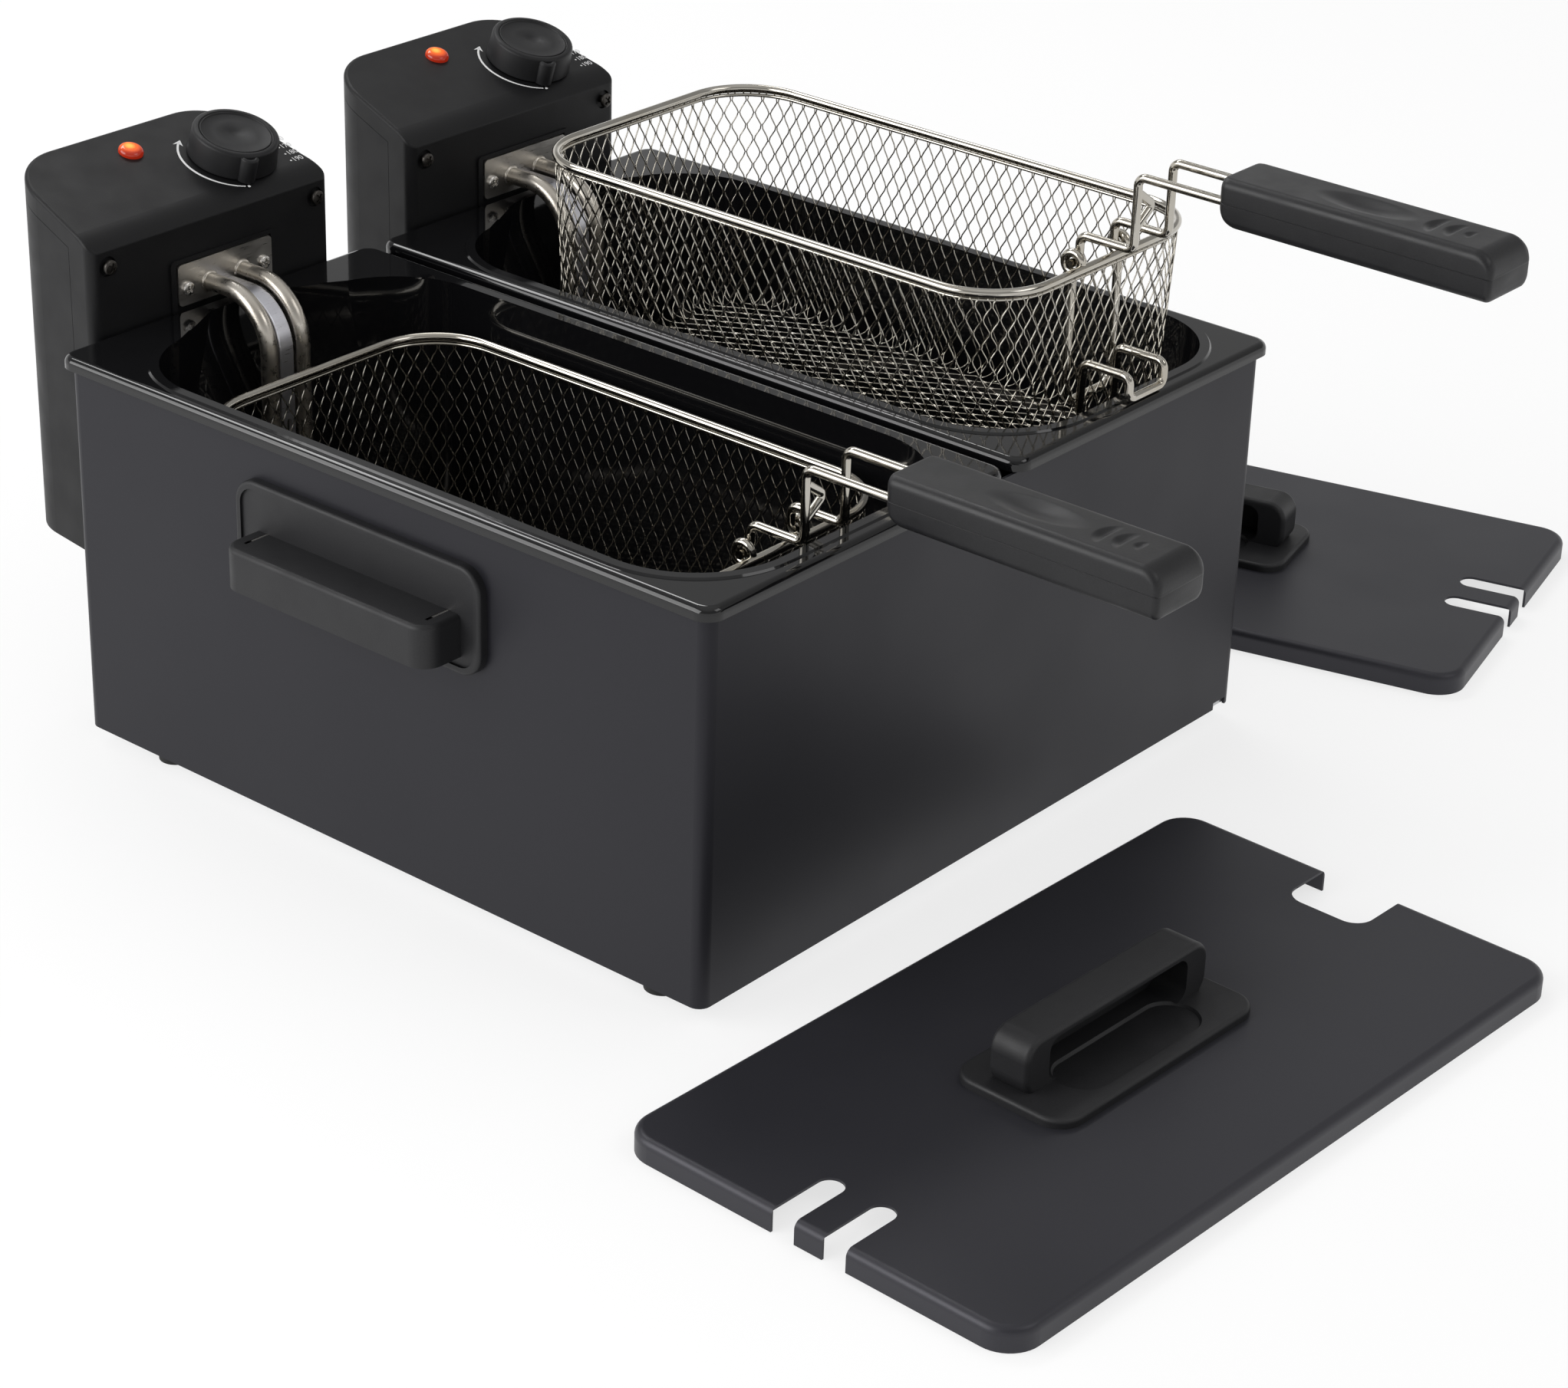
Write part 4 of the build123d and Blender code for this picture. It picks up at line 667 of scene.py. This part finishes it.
def grip_half(side, upper):
    node = f"grip_{'upper' if upper else 'lower'}_{side}"
    low, high = (np.array(corner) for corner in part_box(node))
    height = high[2] - low[2]
    near_round, far_round = UPPER_ROUNDS if upper else LOWER_ROUNDS
    along = np.concatenate([np.linspace(0, GRIP_END, 30),
                            np.linspace(GRIP_END, GRIP_LENGTH - GRIP_END, 260)[1:-1],
                            np.linspace(GRIP_LENGTH - GRIP_END, GRIP_LENGTH, 38)])
    left = GRIP_LENGTH - along
    half = (high[0] - low[0]) / 2 - round_off(along, GRIP_NEAR_CORNER) - round_off(left, GRIP_FAR_CORNER)
    top = height - round_off(along, near_round) - round_off(left, far_round)
    edge = np.minimum(GRIP_EDGE, 0.8 * top)[:, None]
    half, top = half[:, None], top[:, None]
    turn = np.linspace(0, pi / 2, 9)
    # One section: out from the parting line, up the side, round its edge, over, and down in mirror image.
    left_x = np.concatenate([PARTING - half, -half, edge * (1 - np.cos(turn)) - half], axis=1)
    left_z = np.concatenate([0 * half, np.minimum(PARTING, 0.1 * top),
                             top - edge + edge * np.sin(turn)], axis=1)
    over_x = (half - edge) * np.linspace(-1, 1, 61)[1:-1]
    x = np.concatenate([left_x, over_x, -left_x[:, ::-1]], axis=1)
    z = np.concatenate([left_z, top + 0 * over_x, left_z[:, ::-1]], axis=1)
    down = along[:, None]
    if upper:
        z = z - sum(soft_hollow(down, x, *hollow) for hollow in HOLLOWS) * (z > 0.6 * top)
    base = low[2] if upper else high[2]
    middle = (low[0] + high[0]) / 2
    points = np.stack([middle + x, high[1] - down + 0 * x, base + (z if upper else -z)], axis=-1)
    rows, count = x.shape
    index = np.arange(rows * count).reshape(rows, count)
    here, after = index[:-1], index[1:]
    quads = np.stack([here, after, np.roll(after, -1, axis=1), np.roll(here, -1, axis=1)], axis=-1)
    faces = quads.reshape(-1, 4).tolist() + [index[0].tolist(), index[-1, ::-1].tolist()]
    if not upper:
        faces = [face[::-1] for face in faces]
    grip = new_piece(f"moulded_{node}", [(points.reshape(-1, 3), faces)], finishes["grip_plastic"],
                     f"handle_{side}", crease=radians(40))
    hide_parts(node)
    return grip


for side in SIDES:
    print(side, "grip faces", [len(grip_half(side, upper).data.polygons) for upper in (True, False)])

# %% [markdown]
# A pan head screw is a turned shape: a profile of radius and height carried round the screw's axis.
# The cross in its crown is cut by letting the height drop wherever a point lies in one of the two
# slots. The slots' walls lean a little, as the driver's tip does, so the drop is a soft step.

# %% Screws
CROSS_REACH = 0.62
CROSS_WIDTH = 0.17
CROSS_DEPTH = 0.5
CROSS_LEAN = 0.05
RIM_ROUND = 0.45
CROWN = 0.2
CROWN_RINGS = 33


def screw(place, outward, upward, head, height, shank, length):
    """Points: place + r cos a * sideways + r sin a * upward + h * outward, for the profile (r, h)."""
    turn = np.linspace(0.5 * pi, 0, 9)[1:]
    rim, shoulder = RIM_ROUND * height, (1 - CROWN) * height
    over = np.linspace(1, 0, CROWN_RINGS + 1)[1:]
    radii = np.concatenate([[0, shank, shank, head], head - rim + rim * np.sin(turn), (head - rim) * over])
    heights = np.concatenate([[-length, -length, 0, 0], shoulder - rim + rim * np.cos(turn),
                              shoulder + CROWN * height * (1 - over ** 2)])
    angle = np.linspace(0, 2 * pi, 96, endpoint=False)
    x, y = radii[:, None] * np.cos(angle), radii[:, None] * np.sin(angle)
    reach, width, soft = CROSS_REACH * head, CROSS_WIDTH * head, CROSS_LEAN * head

    def within(distance, limit):
        return np.clip((limit - np.abs(distance)) / soft + 0.5, 0, 1)

    cut = np.maximum(within(x, width) * within(y, reach), within(y, width) * within(x, reach))
    cut[:-CROWN_RINGS] = 0
    z = heights[:, None] - CROSS_DEPTH * height * cut
    outward, upward = np.array(outward, float), np.array(upward, float)
    sideways = np.cross(upward, outward)
    offset = x[..., None] * sideways + y[..., None] * upward + z[..., None] * outward
    return fanned(np.array(place) + offset)


def screw_pair(family, side, finish, cant, shank, length):
    """Two screws in a row along X, their heads towards the front, placed by the solids' own box."""
    low, high = (np.array(corner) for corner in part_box(f"{family}_{side}"))
    head = (high[2] - low[2]) / 2
    height = (high[1] - low[1]) - length
    parts = []
    for x, turn in ((low[0] + head, cant), (high[0] - head, -1.7 * cant)):
        place = (x, low[1] + height, (low[2] + high[2]) / 2)
        parts.append(screw(place, (0, -1, 0), (sin(turn), 0, cos(turn)), head, height, shank, length))
    piece = new_piece(f"{family}_cut_{side}", parts, finishes[finish], f"control_unit_{side}",
                      crease=radians(32))
    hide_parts(f"{family}_{side}")
    return piece


for side in SIDES:
    covers = screw_pair("cover_screws", side, "screw_black", 0.5, 1.5 * MM, 20 * MM)
    plates = screw_pair("plate_screws", side, "screw_steel", 0.9, 1.5 * MM, 10 * MM)
    print(side, "screw faces", len(covers.data.polygons) + len(plates.data.polygons))

# %% [markdown]
# White printing on the panel is only a skin of ink, so it is a very thin plate that stands in the
# plastic and rises six hundredths of a millimetre out of it. Each mark is drawn flat round the knob's
# centre, x to the right and y up the panel, and then laid on the slope that the knob's own hinge
# gives: the hinge's axis is the panel's normal turned round.

# %% Dial printing
ARC_RADIUS = 21.3
NUMBERS = {"190": (20.2, -13.0), "180": (21.4, -8.4), "170": (22.2, -3.7),
           "160": (22.5, 1.1), "150": (22.3, 5.9)}
DIGIT_SIZE = 3.8
DIGIT_NARROW = 0.95
DIGIT_GAP = 0.9
OFF_ANGLE = radians(-113)
ARROW_ANGLE = radians(-238)
INK = (-0.04, 0.06)


def on_panel(points, side):
    """Place = knob centre + x * right + y * up the slope + z * normal, drawn in millimetres."""
    joint = joints[f"knob_turn_{side}"]
    normal = -np.array(joint["axis"])
    right = np.array([1.0, 0, 0])
    axes = np.stack([right, np.cross(normal, right), normal])
    return np.array(joint["pos_m"]) + np.asarray(points) * MM @ axes


def ink_plate(outline):
    """A flat outline given thickness: its points low and then high, a cap on each, and a wall."""
    count = len(outline)
    flat = np.asarray(outline, float)
    low = np.column_stack([flat, np.full(count, INK[0])])
    high = np.column_stack([flat, np.full(count, INK[1])])
    here = np.arange(count)
    after = np.roll(here, -1)
    wall = np.stack([here, after, after + count, here + count], axis=-1).tolist()
    return np.concatenate([low, high]), wall + [here[::-1].tolist(), (here + count).tolist()]


def polar(radius, angle):
    return np.stack([radius * np.cos(angle), radius * np.sin(angle)], axis=-1)


def arc_mark():
    """A curved line whose half width swells from the dot towards the arrowhead."""
    angle = np.linspace(OFF_ANGLE - radians(4), ARROW_ANGLE + radians(5), 60)
    half = np.interp(np.arange(60), [0, 25, 59], [0.28, 0.5, 0.42])
    return np.concatenate([polar(ARC_RADIUS - half, angle), polar(ARC_RADIUS + half, angle)[::-1]])


def arrow_mark():
    tip, barb, notch = ARROW_ANGLE, ARROW_ANGLE + radians(11), ARROW_ANGLE + radians(7)
    return np.stack([polar(ARC_RADIUS, tip), polar(ARC_RADIUS - 2, barb), polar(ARC_RADIUS, notch),
                     polar(ARC_RADIUS + 2, barb)])


def dot_mark(centre, radius):
    return centre + polar(radius, np.linspace(0, 2 * pi, 20, endpoint=False))


def number_marks(text, place):
    """The digits as a mesh of their own, with the text's own thickness, moved to the place."""
    curve = bpy.data.curves.new(f"digits_{text}", "FONT")
    curve.body = text
    curve.size = DIGIT_SIZE
    curve.extrude = (INK[1] - INK[0]) / 2
    curve.align_y = "CENTER"
    holder = bpy.data.objects.new(curve.name, curve)
    mesh = bpy.data.meshes.new_from_object(holder)
    joined = bmesh.new()
    joined.from_mesh(mesh)
    bmesh.ops.remove_doubles(joined, verts=joined.verts, dist=1e-5)
    joined.to_mesh(mesh)
    joined.free()
    points = np.array([vertex.co for vertex in mesh.vertices]) * [DIGIT_NARROW, 1, 1]
    faces = [list(face.vertices) for face in mesh.polygons]
    bpy.data.objects.remove(holder)
    return points + [*place, sum(INK) / 2], faces


def print_dial(side):
    parts = [ink_plate(arc_mark()), ink_plate(arrow_mark()),
             ink_plate(dot_mark(polar(ARC_RADIUS, OFF_ANGLE), 0.6))]
    for text, (x, y) in NUMBERS.items():
        parts += [ink_plate(dot_mark(np.array([x, y]), 0.45)), number_marks(text, (x + DIGIT_GAP, y))]
    parts = [(on_panel(points, side), faces) for points, faces in parts]
    dial = new_piece(f"dial_print_{side}", parts, finishes["print_white"], f"control_unit_{side}",
                     smooth=False)
    return dial


for side in SIDES:
    print(side, "dial faces", len(print_dial(side).data.polygons))

# %% [markdown]
# The heating tube is one long bend: out of the plate, down into the pot, round its floor and back
# up. A route of straight runs is rounded at each inner point by an arc, and a ring of points is
# carried along it. The tube is slimmer than its hole in the plate, and a brazed collar fills the gap.

# %% Heating tubes
TUBE_RADIUS = 3.5 * MM
TUBE_SPACING = 17 * MM
TUBE_BEND = 22 * MM
TUBE_RISER = 40 * MM
TUBE_SPLAY = 26 * MM
TUBE_NORMAL = (0.3, -0.55, 0.78)
COLLAR = np.array([(3.3, -1.2), (4.3, -1.2), (4.3, 0.2), (3.9, 0.75), (3.3, 0.9)]) * MM
HOLE_RADIUS = 4.25 * MM


def rounded_route(points, bend, steps=14):
    """Straight runs with an arc at each inner point, about a centre that lies bend from both runs."""
    points = np.asarray(points, float)
    before, after = unit(points[1:-1] - points[:-2]), unit(points[2:] - points[1:-1])
    half_turn = np.arccos(np.clip((before * after).sum(-1), -1, 1)) / 2
    centre = points[1:-1] + unit(after - before) * (bend / np.cos(half_turn))[:, None]
    start = points[1:-1] - before * (bend * np.tan(half_turn))[:, None] - centre
    end = points[1:-1] + after * (bend * np.tan(half_turn))[:, None] - centre
    share = np.linspace(0, 1, steps)[None, :, None]
    whole = 2 * half_turn[:, None, None]
    spokes = np.sin((1 - share) * whole) * start[:, None] + np.sin(share * whole) * end[:, None]
    arcs = centre[:, None] + spokes / np.sin(whole)
    return np.concatenate([points[:1], arcs.reshape(-1, 3), points[-1:]])


def turned(profile, place, axis, sides=48):
    """A closed profile carried round the axis: place + r cos a * u + r sin a * v + h * axis."""
    axis = unit(np.array(axis, float))
    across = unit(np.cross(axis, [0.3, 0.1, 0.9]))
    angle = np.arange(sides) * 2 * pi / sides
    spoke = np.cos(angle)[:, None] * across + np.sin(angle)[:, None] * np.cross(axis, across)
    points = np.array(place) + profile[:, 0, None, None] * spoke + profile[:, 1, None, None] * axis
    index = np.arange(len(profile) * sides).reshape(len(profile), sides)
    above = np.roll(index, -1, axis=0)
    quads = np.stack([index, np.roll(index, -1, axis=1), np.roll(above, -1, axis=1), above], axis=-1)
    return points.reshape(-1, 3), quads.reshape(-1, 4).tolist()


def heating_tube(side):
    node = f"heating_element_{side}"
    low, high = (np.array(corner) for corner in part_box(node))
    middle = (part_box(f"plate_screws_{side}")[0][0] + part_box(f"plate_screws_{side}")[1][0]) / 2
    left, right = middle - TUBE_SPACING / 2, middle + TUBE_SPACING / 2
    upper, loop = high[2] - HOLE_RADIUS, low[2] + HOLE_RADIUS
    front, reach_low, reach_high = low[1] + HOLE_RADIUS, low[0] + HOLE_RADIUS, high[0] - HOLE_RADIUS
    down = high[1] - TUBE_RISER
    back = down - TUBE_SPLAY
    route = [(left, high[1], upper), (left, down, upper), (left, down, loop), (reach_low, back, loop),
             (reach_low, front, loop), (reach_high, front, loop), (reach_high, back, loop),
             (right, down, loop), (right, down, upper), (right, high[1], upper)]
    path = rounded_route(route, TUBE_BEND)[None]
    parts = [swept(path, np.broadcast_to(TUBE_NORMAL, path.shape), TUBE_RADIUS, 28)]
    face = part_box(f"element_plate_{side}")[0][1]
    parts += [turned(COLLAR, (x, face, upper), (0, -1, 0)) for x in (left, right)]
    tube = new_piece(f"bent_tube_{side}", parts, finishes["element_steel"], f"control_unit_{side}",
                     crease=radians(50))
    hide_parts(node)
    return tube


for side in SIDES:
    print(side, "tube faces", len(heating_tube(side).data.polygons))

# %% [markdown]
# The knob is turned too: a profile with a rounded shoulder, two fine rings and a shallow dish, carried
# round the axis that its hinge gives. The half-round lug on its rim is a prism on a slot's outline,
# whose top is drawn in ring by ring and ends in a small dip.

# %% Knobs
# Radius and height in millimetres: the stem, the skirt, the shoulder, the two rings and the dish.
KNOB_PROFILE = np.array([(0, -10.5), (3, -10.5), (3, 0.4), (17.6, 0.4), (18, 0.8), (17.35, 10.3),
                         (17.1, 10.95), (16.6, 11.35), (16.0, 11.5), (15.1, 11.5), (14.85, 11.1),
                         (14.5, 11.0), (14.35, 11.3), (14.1, 11.35), (13.9, 11.0), (13.5, 10.85),
                         (9, 10.75), (3.2, 10.7), (2.6, 10.45), (0, 10.4)])
# Inset and height in millimetres, from the foot of the lug to the dip in its top.
LUG_RINGS = ((0, 0.5), (0, 9.9), (0.25, 10.4), (0.8, 10.7), (1.4, 10.65), (2.1, 10.2), (2.9, 10.0))
LUG_REACH = 16.0
LUG_RADIUS = 3.7
LUG_STRAIGHT = 0.8
LUG_SIDES = 64


def spun(profile, sides=120):
    """A profile from axis to axis, turned round z: one point at each end and rings between."""
    angle = np.arange(sides) * 2 * pi / sides
    spoke = np.stack([np.cos(angle), np.sin(angle), 0 * angle], axis=-1)
    return fanned(profile[:, 0, None, None] * spoke + profile[:, 1, None, None] * np.array([0, 0, 1.0]))


def lug():
    """Rings on a slot's outline, each drawn in by its inset and raised to its height."""
    angle = np.linspace(-pi / 2, 1.5 * pi, LUG_SIDES, endpoint=False)
    shift = np.where(np.cos(angle) > 0, LUG_STRAIGHT, -LUG_STRAIGHT)
    inset, height = np.array(LUG_RINGS).T[:, :, None]
    x = LUG_REACH + shift + (LUG_RADIUS - inset) * np.cos(angle)
    y = (LUG_RADIUS - inset) * np.sin(angle)
    turned_x = x * cos(OFF_ANGLE) - y * sin(OFF_ANGLE)
    turned_y = x * sin(OFF_ANGLE) + y * cos(OFF_ANGLE)
    points = np.stack([turned_x, turned_y, height + 0 * x], axis=-1).reshape(-1, 3)
    index = np.arange(len(points)).reshape(-1, LUG_SIDES)
    return points, bands(index) + [index[0, ::-1].tolist(), index[-1].tolist()]


def dished_knob(side):
    parts = [(on_panel(points, side), faces) for points, faces in (spun(KNOB_PROFILE), lug())]
    knob = new_piece(f"dished_knob_{side}", parts, finishes["knob_plastic"], f"knob_{side}",
                     crease=radians(35))
    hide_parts(f"knob_{side}")
    return knob


for side in SIDES:
    print(side, "knob faces", len(dished_knob(side).data.polygons))
